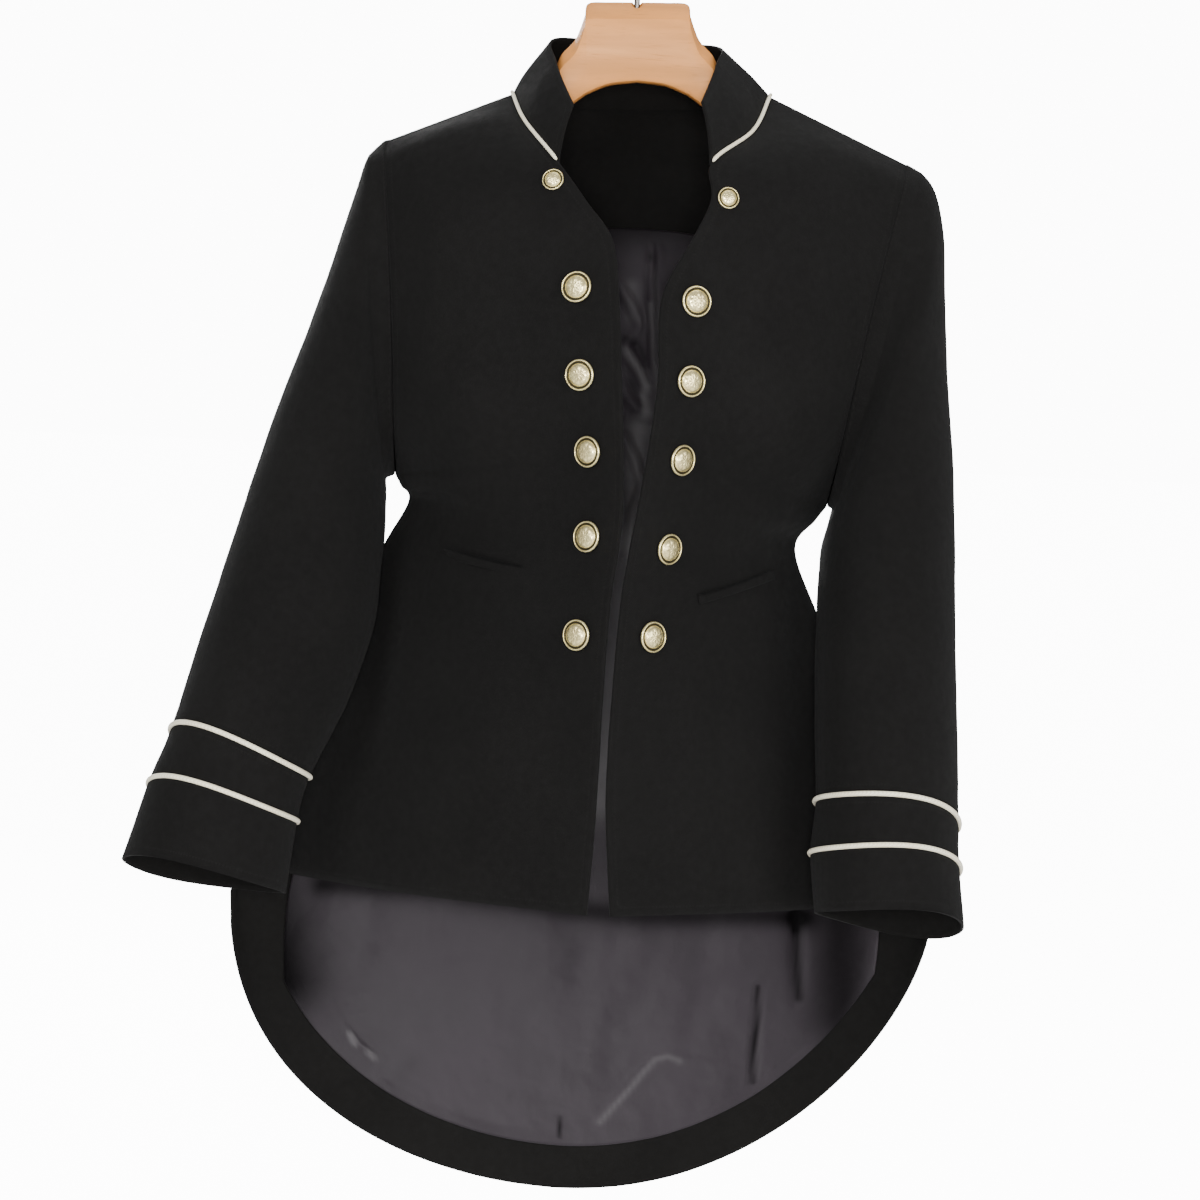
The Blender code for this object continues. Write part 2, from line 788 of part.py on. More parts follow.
def add_lining(back, outward):
    """Satin lining of the back, from the neck facing down to the hem facing."""
    first = int(LINING_TOP * ROW_STEPS)
    end = SIDE_END * ROW_STEPS
    columns = range(LINING_INSET, back.shape[1] - LINING_INSET)
    outer = back - outward * (CLOTH + LINING_GAP)
    count = back.shape[1] - 1
    rows = [outer[r, LINING_INSET:count - LINING_INSET + 1] for r in range(first, end + 1)]
    hem = []
    for c in columns:
        theta = back_angle(c)
        reach = TAIL["right"] * math.cos(theta)
        drop = (TAIL["side"] - TAIL["low"]) * abs(math.sin(theta))
        slant = max(SLANT_LEAST, reach / math.hypot(reach, drop))
        length = np.linalg.norm(back[-1, c] - back[end, c])
        hem.append(max(HEM_LEAST, 1 - FACING / slant / length))
    for step in range(1, TAIL_STEPS + 1):
        marks = [end + h * step for h in hem]
        row = []
        for c, mark in zip(columns, marks):
            low = min(int(mark), back.shape[0] - 2)
            row.append(outer[low, c] + (outer[low + 1, c] - outer[low, c]) * (mark - low))
        rows.append(np.array(row))
    grid = np.array(rows)
    add_wall("lining", grid, grid - normals(grid, -1) * LINING, "satin")


def add_collar_piping(seam, faces):
    """Cord in the corner between the collar and the body."""
    meeting = {}
    for name in ("front_right", "front_left", "back", "collar"):
        grid, normal = faces[name]
        for point, n in zip(grid.reshape(-1, 3), normal.reshape(-1, 3)):
            meeting.setdefault(place_key(point), []).append(n)
    path = []
    for point in seam:
        path.append(point - mitre(meeting[place_key(point)]) * (PIPING + SEAT))
    last = len(path) - 1
    add_cord("piping_collar", path, PIPING, "cream", taper=((0, PIPING_END), (last, PIPING_END)))


def add_cuff_piping(side, cuff):
    """Cords round the seam and the middle of a cuff."""
    grid, normal = cuff
    for name, row in (("upper", 0), ("lower", 2)):
        path = grid[row] + normal[row] * (PIPING + SEAT)
        add_cord(f"piping_{side}_{name}", path, PIPING, "cream", closed=True)


def main():
    """Clear the scene and build the blazer."""
    for thing in list(bpy.data.objects):
        bpy.data.objects.remove(thing, do_unlink=True)
    for name in (NAME, "cutters"):
        group = bpy.data.collections.new(name)
        bpy.context.scene.collection.children.link(group)
    add_shells()
    add_hanger()
    add_hook()


main()
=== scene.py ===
"""Looks of a military-style blazer on a wooden hanger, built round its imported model.

Shapes are worked out in millimetres and laid in metres. +Z is up, the front faces -Y and the
wearer's left is at +X. The origin is where the hook bears on its rail.
"""
import logging
import math
from dataclasses import dataclass, replace
from enum import Enum
from typing import Callable

import bmesh
import bpy
import numpy as np
from mathutils import Matrix, Vector, noise

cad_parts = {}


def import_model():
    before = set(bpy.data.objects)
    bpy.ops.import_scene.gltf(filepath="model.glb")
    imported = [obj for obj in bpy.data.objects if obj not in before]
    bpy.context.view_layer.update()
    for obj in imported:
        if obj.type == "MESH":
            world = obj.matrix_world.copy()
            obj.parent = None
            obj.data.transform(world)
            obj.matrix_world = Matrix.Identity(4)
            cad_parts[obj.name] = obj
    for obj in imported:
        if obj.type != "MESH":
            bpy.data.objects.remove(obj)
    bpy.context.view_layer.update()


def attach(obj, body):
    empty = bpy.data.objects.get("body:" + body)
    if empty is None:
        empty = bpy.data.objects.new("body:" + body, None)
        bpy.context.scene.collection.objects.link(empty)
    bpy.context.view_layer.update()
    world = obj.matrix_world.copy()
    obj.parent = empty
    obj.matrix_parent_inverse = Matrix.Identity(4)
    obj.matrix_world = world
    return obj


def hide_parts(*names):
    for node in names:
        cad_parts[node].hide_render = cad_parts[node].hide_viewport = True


log = logging.getLogger("blazer")

Pair = tuple[float, float]
Three = tuple[float, float, float]
Colour = tuple[float, float, float, float]
Socket = bpy.types.NodeSocket

MM = 0.001
BODY = "root"

# Points nearer than this are one point, in metres
MERGE = 0.00002

# Length below which a vector isn't stretched to one
LENGTH_LEAST = 1e-9

# Walls and seams, as the model has them
CLOTH = 2.0
LINING = 1.0
LINING_GAP = 0.6
FACING = 34.0
PIPING = 1.8

# Rows of the model, counted from the shoulder seam down
UNDERARM = 7
SIDE_END = 13
NECK_ROWS = 2
SEAM_FADE = 2.5
FRONT_COLUMNS = 7
NECK_COLUMNS = 8
BACK_SPREAD = 76.0
BACK_COUNT = 2 * FRONT_COLUMNS + NECK_COLUMNS
NECK_STEPS = 16
LINING_TOP = 3.5
LINING_INSET = 3
LINING_COLUMNS = 211
LINING_TAIL_ROWS = 100
CUFF_SEAM = 9
CUFF_END = 11
ARM_ANGLES = (0, 30, 52, 68, 85, 105, 130, 180)
PEAK_RANGE = (0.3, 0.9)
COLLAR_MIDDLE = 3.0
COLLAR_LEVELS = 9
HEM_LEAST = 0.15
SLANT_LEAST = 0.3

# Search for a place on a front: first row and share across, trial steps, moves and share of each move
LOCATE_START = (6.0, 0.2)
LOCATE_TRIAL = (0.01, 0.001)
LOCATE_MOVES = 40
LOCATE_PACE = 0.7

# Folds: how far their ends fade, and their ridge's distance, width and height beside the trough
FOLD_ENDS = (0.04, 0.92, 0.6)
RIDGE_DISTANCE = 1.9
RIDGE_WIDTH = 1.1
RIDGE_HEIGHT = 0.45

# Second, finer noise of hanging cloth: how much finer and how high
FINER = 2.3
FINER_HEIGHT = 0.4

# How fast a fold on one face gives way to the other face, and its share straight at the side
FACE_TURN = 1.6
FACE_SIDE = 0.3
SETTLE_POWER = 1.5

# Painted shade of a pocket's mouth on its welt: level, bow and rise of its line, then how sharp it is and how
# its ends fade
MOUTH_LINE = (0.72, 0.5, 0.18)
MOUTH_EDGE = (9.0, 14.0, 0.2)

# Twill: slant, pace and height of its yarns, height of its ribs, scale of its fibres and its full reach
YARN_SLANT = 0.4
YARN_PACE = 1.6
YARN_HEIGHT = 0.22
RIB_HEIGHT = 0.5
FIBRE_SCALE = 2600.0
WEAVE_REACH = 0.9

# Part of a stitch's beat in which its thread shows, and the noise that counts as dark and as light
STITCH_BEAT = (-0.55, 0.1)
CLOUD_RANGE = (0.32, 0.68)

# Distance that the stitches of a ring count from one of its points to the next, in millimetres
RING_SPAN = 4.0


class Side(Enum):
    """Side of the wearer that a piece belongs to."""

    RIGHT = "right"
    LEFT = "left"


class Face(Enum):
    """Part of a piece that a fold lies on."""

    FRONT = -1
    BOTH = 0
    BEHIND = 1


ARMHOLES = {
    Side.RIGHT: dict(top=(-175, 2, -166), low=(-158.5, 4, -403), reach=51, scoop=4),
    Side.LEFT: dict(top=(197, 2, -166), low=(153, 4, -412), reach=51, scoop=-4),
}

# Front edges from the neck point down to the hem: x, y, z
FRONT_EDGES = {
    Side.RIGHT: (
        (-85, 5, -128), (-74, -38, -149), (-50, -78, -176), (-29, -95, -203), (-10, -108, -229),
        (-4, -121, -269), (0, -129, -320), (3, -132, -366), (5, -133, -408), (3, -134, -440),
        (-1, -136, -474), (-3, -140, -541), (-4, -145, -612), (-7, -150, -687),
    ),
    Side.LEFT: (
        (97, 5, -122), (84, -38, -149), (56, -78, -172.5), (57, -88, -198), (45, -102, -226),
        (26, -118, -266), (26, -129, -320), (22, -132, -364), (17, -133, -406), (12, -134, -440),
        (8, -136, -474), (5, -140, -541), (4, -145, -612), (10, -150, -687),
    ),
}

# Side seams from the underarm to the hem: x, y, z
SIDE_SEAMS = {
    Side.RIGHT: (
        (-158.5, 4, -403), (-154, 3, -411), (-148.5, 3, -422), (-168, 7, -460),
        (-200, 17, -538), (-233, 27, -612), (-264, 36, -697),
    ),
    Side.LEFT: (
        (153, 4, -412), (145, 3, -423), (132, 3, -443), (148, 8, -484),
        (180, 18, -546), (213, 28, -616), (247, 38, -699),
    ),
}

# Swell of a front between its edge and its side: forward, up, place of the peak
FRONT_SWELL = (
    (0, 0, 0.50), (5, 7, 0.50), (10, 5, 0.55), (12, 2, 0.60), (13, 0, 0.64), (14, 0, 0.68),
    (14, 0, 0.70), (20, 0, 0.72), (18, 0, 0.70), (16, 0, 0.64), (16, 0, 0.62), (18, 0, 0.60),
    (19, 0, 0.58), (18, 0, 0.56),
)

# Centre of the back at each row: x, y, z, and how square the row is across
BACK_CENTRES = (
    (6, 70, -132, 2.0), (6, 79, -152, 1.3), (6, 86, -176, 1.7), (6, 91, -203, 2.0),
    (6, 95, -232, 2.2), (5, 98, -270, 2.3), (4, 98, -318, 2.3), (2, 94, -366, 2.3),
    (0, 84, -408, 2.3), (-2, 75, -438, 2.2), (-3, 79, -475, 2.2), (-5, 92, -541, 2.2),
    (-7, 104, -612, 2.2), (-9, 114, -692, 2.2),
)

TAIL = dict(x=-14, right=256, left=262, side=-718, low=-955, push=8, full_right=0.93, full_left=1.28)

# Sleeves from the shoulder to the cuff: outer x, z, inner x, z, middle y, half-depth, pitch, warp
SLEEVES = {
    Side.RIGHT: (
        (-175, -166, -158.5, -403, 4, 51, 0, 0), (-185, -176, -163.5, -405, 3, 56.5, 0, 0),
        (-193, -202, -164.5, -408.5, 0, 60, 0, 0), (-207.5, -251, -164, -414, -4, 62, 2, 0),
        (-223, -302, -163.5, -426, -9, 62, 3, 0), (-240, -353, -163, -444, -16, 60, 4, 0),
        (-258, -414, -164, -472, -26, 58, 6, 0), (-276, -476, -167, -511, -38, 56, 9, 1),
        (-292, -535, -183, -565, -51, 53, 14, 3), (-304.5, -587, -206, -614, -63, 51, 21, 6),
        (-318, -625, -213, -645, -69, 51, 21, 6), (-333.5, -677, -218, -695, -78, 51, 18, 4),
    ),
    Side.LEFT: (
        (197, -166, 153, -412, 4, 51, 0, 0), (207.5, -171, 157, -413.5, 3, 56.5, 0, 0),
        (218.5, -186, 156.5, -417, 0, 60, 0, 0), (225, -216, 154, -423, -5, 62, 2, 0),
        (228.5, -268, 151.5, -433, -10, 62, 3, 0), (233, -322, 148.5, -446, -18, 60, 4, 0),
        (238.5, -382, 147, -468, -28, 58, 6, 0), (242.5, -446, 146.5, -501, -44, 55, 9, 1),
        (246, -528, 147.5, -552, -62, 52, 15, 3), (251, -627, 150, -612, -78, 50, 24, 6),
        (253, -657, 148, -648, -84, 50, 23, 6), (257.5, -696, 152, -689, -93, 50, 20, 6),
    ),
}

# Upper edge of the collar from one front end round to the other: x, y, z
COLLAR_TOP = (
    (-42, -66, -136), (-56, -22, -105), (-56.5, 22, -87), (1, 55, -87),
    (57, 22, -88), (58, -22, -102), (48, -66, -131),
)
COLLAR_SWELL = 2.5

# Buttons of each front: x, z, radius
BUTTONS = {
    Side.RIGHT: (
        (-52, -190, 7.6), (-32, -262, 10.8), (-27, -321, 10.8),
        (-19, -373, 10.8), (-17, -431, 10.8), (-21, -498, 10.8),
    ),
    Side.LEFT: (
        (68, -197, 7.6), (48.5, -268, 10.8), (47, -322, 10.8),
        (43.5, -376, 10.8), (37.5, -437.5, 10.8), (29, -497.5, 10.8),
    ),
}

# Pocket welts: inner end x, z, outer end x, z
POCKETS = {Side.RIGHT: (-61, -459, -119, -453), Side.LEFT: (61, -473, 115, -459)}

# Wooden hanger: distance from the middle, top, underside, half-thickness
HANGER = (
    (0, -61, -117, 11), (20, -61, -119.5, 11), (35, -62, -125.5, 11), (37.5, -71, -127, 11),
    (40.5, -80, -129, 11), (44.5, -88.5, -132, 11), (53, -97.5, -138, 11), (58, -107, -142, 11),
    (68, -122, -148, 11.5), (90, -135.5, -158, 12), (120, -146, -172, 13), (150, -160, -184, 13),
    (163, -167, -186, 11),
)


def spline(rows: object, u: object) -> np.ndarray:
    """Point at u of the smooth curve through evenly numbered rows.

    Args:
        rows: Rows of numbers that the curve passes through.
        u: Row numbers, whole or not, of any shape.

    Returns:
        One row of numbers for each entry of u.
    """
    rows = np.asarray(rows, float)
    u = np.asarray(u, float)
    k = np.clip(np.floor(u).astype(int), 0, len(rows) - 2)
    f = (u - k).reshape(u.shape + (1,) * (rows.ndim - 1))
    ends = np.concatenate([[2 * rows[0] - rows[1]], rows, [2 * rows[-1] - rows[-2]]])
    a, b, c, d = ends[k], ends[k + 1], ends[k + 2], ends[k + 3]
    cubic = (3 * b - a - 3 * c + d) * f ** 3
    return 0.5 * (2 * b + (c - a) * f + (2 * a - 5 * b + 4 * c - d) * f * f + cubic)


def unit(vectors: np.ndarray) -> np.ndarray:
    """Vectors at length one."""
    length = np.linalg.norm(vectors, axis=-1, keepdims=True)
    return vectors / np.maximum(length, LENGTH_LEAST)


def surface_normals(grid: np.ndarray, turn: float, ring: bool = False) -> np.ndarray:
    """Outward normals of a grid of points.

    Args:
        grid: Points, rows by columns.
        turn: 1 or -1, which way is out.
        ring: Whether the last column goes on to the first.

    Returns:
        Unit normals in the grid's own order.
    """
    down = np.gradient(grid, axis=0)
    if ring:
        across = np.roll(grid, -1, axis=1) - np.roll(grid, 1, axis=1)
    else:
        across = np.gradient(grid, axis=1)
    return unit(np.cross(down, across)) * turn


def run(grid: np.ndarray, axis: int) -> np.ndarray:
    """Way along the rows or columns of a grid of points, from its first row or column.

    Args:
        grid: Points, rows by columns.
        axis: 0 to go down the rows, 1 to go across the columns.

    Returns:
        The length of the way to each point.
    """
    steps = np.linalg.norm(np.diff(grid, axis=axis), axis=2)
    first = np.zeros_like(grid[:1, :, 0] if axis == 0 else grid[:, :1, 0])
    return np.concatenate([first, np.cumsum(steps, axis=axis)], axis=axis)


class Shape:
    """Form of the garment, the same as the model's, at any fineness."""

    def armhole(self, side: Side, angle: float, face: int) -> np.ndarray:
        """Point of an armhole.

        Args:
            side: Side of the wearer.
            angle: Angle from the shoulder, in degrees.
            face: -1 for the front's half, 1 for the back's.

        Returns:
            The point.
        """
        hole = ARMHOLES[side]
        top = np.array(hole["top"], float)
        low = np.array(hole["low"], float)
        a = math.radians(angle)
        point = (top + low) / 2 + (top - low) / 2 * math.cos(a)
        point[1] += face * hole["reach"] * math.sin(a)
        point[0] += hole["scoop"] * math.sin(a) ** 2
        return point

    def side_curve(self, side: Side, u: object, face: int) -> np.ndarray:
        """Outer end of a row: on the armhole above the underarm, on the side seam below it."""
        u = np.asarray(u, float)
        holes = [self.armhole(side, angle, face) for angle in ARM_ANGLES]
        arm = spline(holes, np.minimum(u, UNDERARM))
        seam = spline(SIDE_SEAMS[side], np.maximum(u - UNDERARM, 0))
        return np.where((u < UNDERARM)[..., None], arm, seam)

    def front_point(self, side: Side, u: object, t: object) -> np.ndarray:
        """Points of a front.

        Args:
            side: Side of the wearer.
            u: Row numbers.
            t: Places from the edge at 0 to the side at 1.

        Returns:
            The points.
        """
        edge = spline(FRONT_EDGES[side], u)
        outer = self.side_curve(side, u, -1)
        swell = spline(FRONT_SWELL, u)
        t = np.asarray(t, float)[..., None]
        peak = np.clip(swell[..., 2:3], *PEAK_RANGE)
        hump = np.sin(math.pi * np.clip(t, 0, 1) ** (math.log(0.5) / np.log(peak)))
        rise = [0 * hump, -swell[..., 0:1] * hump, swell[..., 1:2] * hump]
        return edge + (outer - edge) * t + np.concatenate(rise, axis=-1)

    def back_angle(self, column: float) -> float:
        """Angle of a column across the back, a quarter turn each way from the middle."""
        spread = math.radians(BACK_SPREAD)
        across = math.sin(spread * (2 * column / BACK_COUNT - 1)) / math.sin(spread)
        return math.asin(max(-1.0, min(1.0, across)))

    def back_rows(self, column: float, u: np.ndarray) -> np.ndarray:
        """Points of one column of the back without the shoulder seam and the tail."""
        theta = self.back_angle(column)
        side = Side.LEFT if theta > 0 else Side.RIGHT
        t = abs(math.sin(theta))
        seam = self.side_curve(side, u, 1)
        centre = spline(BACK_CENTRES, u)
        across = (1 - t ** centre[:, 3])[:, None]
        place = seam + (centre[:, :3] - seam) * across
        place[:, 0] = centre[:, 0] + (seam[:, 0] - centre[:, 0]) * t
        return place

    def shoulder_point(self, column: float) -> np.ndarray:
        """Upper end of a column of the back, on a shoulder seam or on the back neckline."""
        if column <= FRONT_COLUMNS:
            return self.front_point(Side.RIGHT, np.array(0.0), np.array(1 - column / FRONT_COLUMNS))
        if column >= BACK_COUNT - FRONT_COLUMNS:
            place = 1 - (BACK_COUNT - column) / FRONT_COLUMNS
            return self.front_point(Side.LEFT, np.array(0.0), np.array(place))
        a = math.pi * (column - FRONT_COLUMNS) / NECK_COLUMNS
        right = np.array(FRONT_EDGES[Side.RIGHT][0], float)
        left = np.array(FRONT_EDGES[Side.LEFT][0], float)
        centre = np.array(BACK_CENTRES[0][:3], float)
        middle = (right + left) / 2
        return middle - (left - right) / 2 * math.cos(a) + (centre - middle) * math.sin(a)

    def back_column(self, column: float, marks: np.ndarray) -> np.ndarray:
        """Points of one column of the back from its seam at the top to the tail's hem.

        Args:
            column: Column number, whole or not.
            marks: Row numbers; those past SIDE_END lie on the tail.

        Returns:
            The points.
        """
        upper = marks[marks <= SIDE_END]
        rows = self.back_rows(column, upper)
        lift = self.shoulder_point(column) - self.back_rows(column, np.array([0.0]))[0]
        rows = rows + lift * (np.maximum(0, 1 - upper / SEAM_FADE) ** 2)[:, None]
        theta = self.back_angle(column)
        low, above = self.back_rows(column, np.array([SIDE_END, SIDE_END - 0.5]))
        s, c = math.sin(theta), max(math.cos(theta), 0)
        wide = TAIL["left"] if s > 0 else TAIL["right"]
        full = TAIL["full_left"] if s > 0 else TAIL["full_right"]
        depth = TAIL["side"] + (TAIL["low"] - TAIL["side"]) * c ** full
        hem = np.array((TAIL["x"] + wide * s, low[1] + TAIL["push"] * math.cos(theta), depth))
        fall = unit(low - above) * np.linalg.norm(hem - low)
        f = (marks[marks > SIDE_END] - SIDE_END)[:, None]
        ease = f * f * (3 - 2 * f)
        curl = fall * f * (1 - f) ** 2 + (hem - low) * f * f * (f - 1)
        return np.concatenate([rows, low + (hem - low) * ease + curl])

    def armhole_ring(self, side: Side, marks: np.ndarray) -> np.ndarray:
        """The armhole as the fronts and the back leave it."""
        fore = self.side_curve(side, marks, -1)
        aft = self.side_curve(side, marks, 1)
        return np.concatenate([fore, aft[-2:0:-1]])

    def sleeve_grid(self, side: Side, sections: np.ndarray, marks: np.ndarray) -> np.ndarray:
        """Outer face of a sleeve through the given section numbers.

        Args:
            side: Side of the wearer.
            sections: Section numbers from the shoulder down.
            marks: Row numbers from 0 to the underarm that give the points round it.

        Returns:
            Rings of points, one for each section.
        """
        down = spline(np.array(ARM_ANGLES, float)[:, None], marks)[:, 0]
        down[-1] = 180
        a = np.radians(np.concatenate([down, 360 - down[-2:0:-1]]))
        hole = self.armhole_ring(side, marks)
        rings = []
        for section in sections:
            ox, oz, ix, iz, y, reach, pitch, warp = spline(SLEEVES[side], np.array(max(section, 1.0)))
            fore = np.sin(a) * reach
            x = (ox + ix) / 2 + (ox - ix) / 2 * np.cos(a)
            z = (oz + iz) / 2 + (oz - iz) / 2 * np.cos(a) + fore * math.tan(math.radians(pitch))
            z += warp * np.sin(a) * np.cos(a)
            ring = np.stack([x, y - fore, z], axis=1)
            if section < 1:
                ease = math.sin(section * math.pi / 2)
                ring = hole + (ring - hole) * (0.5 * section + 0.5 * ease)
            rings.append(ring)
        return np.array(rings)

    def neck_seam(self, steps: np.ndarray) -> np.ndarray:
        """Points of the collar's seam at step numbers from one front end to the other."""
        ends = 2 * NECK_ROWS
        points = []
        for s in steps:
            if s <= ends:
                points.append(spline(FRONT_EDGES[Side.RIGHT], np.array(NECK_ROWS - s / 2)))
            elif s >= NECK_STEPS - ends:
                place = (s - NECK_STEPS + ends) / 2
                points.append(spline(FRONT_EDGES[Side.LEFT], np.array(place)))
            else:
                points.append(self.shoulder_point(FRONT_COLUMNS + s - ends))
        return np.array(points)

    def collar_grid(self, steps: np.ndarray, levels: int) -> np.ndarray:
        """Outer face of the collar standing on its seam.

        Args:
            steps: Step numbers from one front end to the other.
            levels: Rows of points from the seam to the upper edge.

        Returns:
            Points, rows by columns.
        """
        seam = self.neck_seam(steps)
        top = spline(COLLAR_TOP, steps * (len(COLLAR_TOP) - 1) / NECK_STEPS)
        middle = (seam + top) / 2 - np.array((COLLAR_MIDDLE, 0, 0))
        middle[:, 2] = 0
        outward = unit(middle)
        rows = []
        for s in np.linspace(0, 1, levels):
            rows.append(seam + (top - seam) * s + outward * COLLAR_SWELL * math.sin(math.pi * s))
        return np.array(rows)

    def place_of(self, side: Side, x: float, z: float) -> Pair:
        """Row and place across a front where it passes through x and z.

        Args:
            side: Side of the wearer.
            x: Place across, in millimetres.
            z: Height, in millimetres.

        Returns:
            The row number and the place from edge to side.
        """
        u, t = LOCATE_START
        for _ in range(LOCATE_MOVES):
            here, by_u, by_t = self.front_slopes(side, np.array(u), np.array(t))
            slopes = np.array([[by_u[0], by_t[0]], [by_u[2], by_t[2]]])
            move = np.linalg.solve(slopes, np.array([x - here[0], z - here[2]]))
            u = float(np.clip(u + LOCATE_PACE * move[0], 0, SIDE_END))
            t = float(np.clip(t + LOCATE_PACE * move[1], 0, 1))
        return u, t

    def front_slopes(self, side: Side, u: np.ndarray, t: np.ndarray) -> tuple[np.ndarray, ...]:
        """Points of a front, and how they move with the row and with the place across.

        Args:
            side: Side of the wearer.
            u: Row numbers.
            t: Places from the edge at 0 to the side at 1.

        Returns:
            The points, then what a row and a whole width would move them.
        """
        here = self.front_point(side, u, t)
        row, place = LOCATE_TRIAL
        by_u = (self.front_point(side, u + row, t) - here) / row
        by_t = (self.front_point(side, u, t + place) - here) / place
        return here, by_u, by_t

    def laid_on_front(self, side: Side, u: np.ndarray, t: np.ndarray) -> tuple[np.ndarray, np.ndarray]:
        """Points and outward normals of a front.

        Args:
            side: Side of the wearer.
            u: Row numbers.
            t: Places from the edge at 0 to the side at 1.

        Returns:
            The points and the normals.
        """
        here, by_u, by_t = self.front_slopes(side, u, t)
        normal = unit(np.cross(by_u, by_t))
        return here, normal * np.where(normal[..., 1:2] < 0, 1, -1)


def nearest_on(line: object, x: np.ndarray, z: np.ndarray) -> tuple[np.ndarray, np.ndarray, np.ndarray]:
    """Where places lie beside a line of points.

    Args:
        line: Points x, z that the line runs through.
        x: Places across.
        z: Places up.

    Returns:
        Distance from the line, the same with a sign for its side, and the share of the way along it.
    """
    line = np.array(line, float)
    lengths = np.linalg.norm(np.diff(line, axis=0), axis=1)
    nearest = np.full(x.shape, np.inf)
    offset = np.zeros(x.shape)
    along = np.zeros(x.shape)
    start = 0.0
    for a, b, length in zip(line[:-1], line[1:], lengths):
        way = (b - a) / length
        s = np.clip((x - a[0]) * way[0] + (z - a[1]) * way[1], 0, length)
        dx, dz = x - a[0] - way[0] * s, z - a[1] - way[1] * s
        distance = np.hypot(dx, dz)
        closer = distance < nearest
        nearest = np.where(closer, distance, nearest)
        offset = np.where(closer, np.sign(way[0] * dz - way[1] * dx) * distance, offset)
        along = np.where(closer, (start + s) / lengths.sum(), along)
        start += length
    return nearest, offset, along


@dataclass(frozen=True)
class Fold:
    """Soft trough with a ridge beside it, drawn over a piece as the front view shows it.

    Attributes:
        line: Points x, z that it runs through, in millimetres.
        depth: How deep it is; a negative depth makes a ridge.
        width: Half-width of its trough.
        face: Which side of a piece it lies on.
        lean: From -1 to 1, the side that its ridge stands on.
    """

    line: tuple[Pair, ...]
    depth: float
    width: float
    face: Face = Face.FRONT
    lean: float = 0.5

    def height(self, x: np.ndarray, z: np.ndarray) -> np.ndarray:
        """Height of the cloth over the plain form at places x and z."""
        nearest, offset, along = nearest_on(self.line, x, z)
        start, share, power = FOLD_ENDS
        fade = np.sin(math.pi * np.clip(along * share + start, 0, 1)) ** power
        trough = np.exp(-(nearest / self.width) ** 2)
        crest = offset - self.lean * RIDGE_DISTANCE * self.width
        rise = np.exp(-(crest / (RIDGE_WIDTH * self.width)) ** 2)
        return self.depth * fade * (RIDGE_HEIGHT * rise - trough)


@dataclass(frozen=True)
class Shade:
    """Painted shade on a stretch of cloth, or a painted highlight where its strength is below 0.

    Attributes:
        line: Points x, z that it runs through, in millimetres.
        strength: How dark the painted shade is, up to 1; below 0 it is a painted highlight.
        reach: How far it goes from its line, in millimetres.
    """

    line: tuple[Pair, ...]
    strength: float
    reach: float

    def value(self, x: np.ndarray, z: np.ndarray) -> np.ndarray:
        """How dark the painted shade makes the cloth at places x and z."""
        return self.strength * np.exp(-(nearest_on(self.line, x, z)[0] / self.reach) ** 2)


@dataclass(frozen=True)
class Drape:
    """Slow unevenness of hanging cloth.

    Attributes:
        height: How far it goes each way, in millimetres.
        size: Distance between its swells, in millimetres.
        stretch: How much longer the swells are along the fall of the cloth.
        seed: Place in the noise that it is read from.
    """

    height: float
    size: float
    stretch: float = 2.2
    seed: float = 0.0

    def heights(self, grid: np.ndarray) -> np.ndarray:
        """Height of the cloth over the plain form at each point of a grid."""
        flat = grid.reshape(-1, 3) / self.size
        values = []
        for x, y, z in flat:
            place = Vector((x + self.seed, y, z / self.stretch))
            values.append(noise.noise(place) + FINER_HEIGHT * noise.noise(place * FINER))
        return self.height * np.array(values).reshape(grid.shape[:2])


def folds(faces: Face | tuple[Face, ...], rows: tuple) -> tuple[Fold, ...]:
    """Folds of one piece.

    Args:
        faces: Side of the piece that they lie on, one for all or one for each.
        rows: For each fold its line, depth, width and lean.

    Returns:
        The folds.
    """
    each = faces if isinstance(faces, tuple) else (faces,) * len(rows)
    return tuple(Fold(line, depth, width, face, lean) for (line, depth, width, lean), face in zip(rows, each))


# Folds of each piece: line of points x, z, then depth, width and lean
FRONT_RIGHT_FOLDS = folds(Face.FRONT, (
    (((-118, -447), (-94, -456), (-60, -454)), 1.3, 4.5, -0.7),
    (((-140, -424), (-112, -410), (-84, -402)), 1.4, 8.0, 0.6),
    (((-138, -432), (-110, -444), (-78, -476)), 1.2, 9.0, -0.6),
    (((-150, -470), (-158, -540), (-166, -610)), 2.4, 12.0, 0.6),
    (((-92, -505), (-98, -580), (-104, -670)), 1.6, 14.0, -0.5),
    (((-150, -372), (-128, -335), (-116, -282)), 1.8, 12.0, 0.6),
    (((-160, -300), (-146, -262), (-142, -215)), 1.4, 10.0, -0.5),
    (((-40, -150), (-62, -190), (-70, -240)), 0.8, 12.0, 0.4),
    (((-30, -540), (-34, -600), (-40, -680)), 1.0, 12.0, 0.4),
))

FRONT_LEFT_FOLDS = folds(Face.FRONT, (
    (((36, -492), (52, -478), (72, -468)), 1.8, 7.0, -0.6),
    (((78, -474), (96, -469), (118, -468)), 1.0, 3.5, -0.7),
    (((128, -441), (104, -426), (76, -420)), 1.5, 8.0, 0.6),
    (((134, -470), (140, -540), (146, -620)), 2.2, 12.0, -0.6),
    (((78, -510), (84, -590), (88, -680)), 1.7, 13.0, 0.5),
    (((150, -352), (128, -330), (112, -282)), 1.9, 12.0, -0.6),
    (((168, -292), (158, -250), (150, -205)), 1.4, 10.0, 0.5),
    (((138, -412), (110, -392), (84, -352)), 1.2, 10.0, 0.5),
))

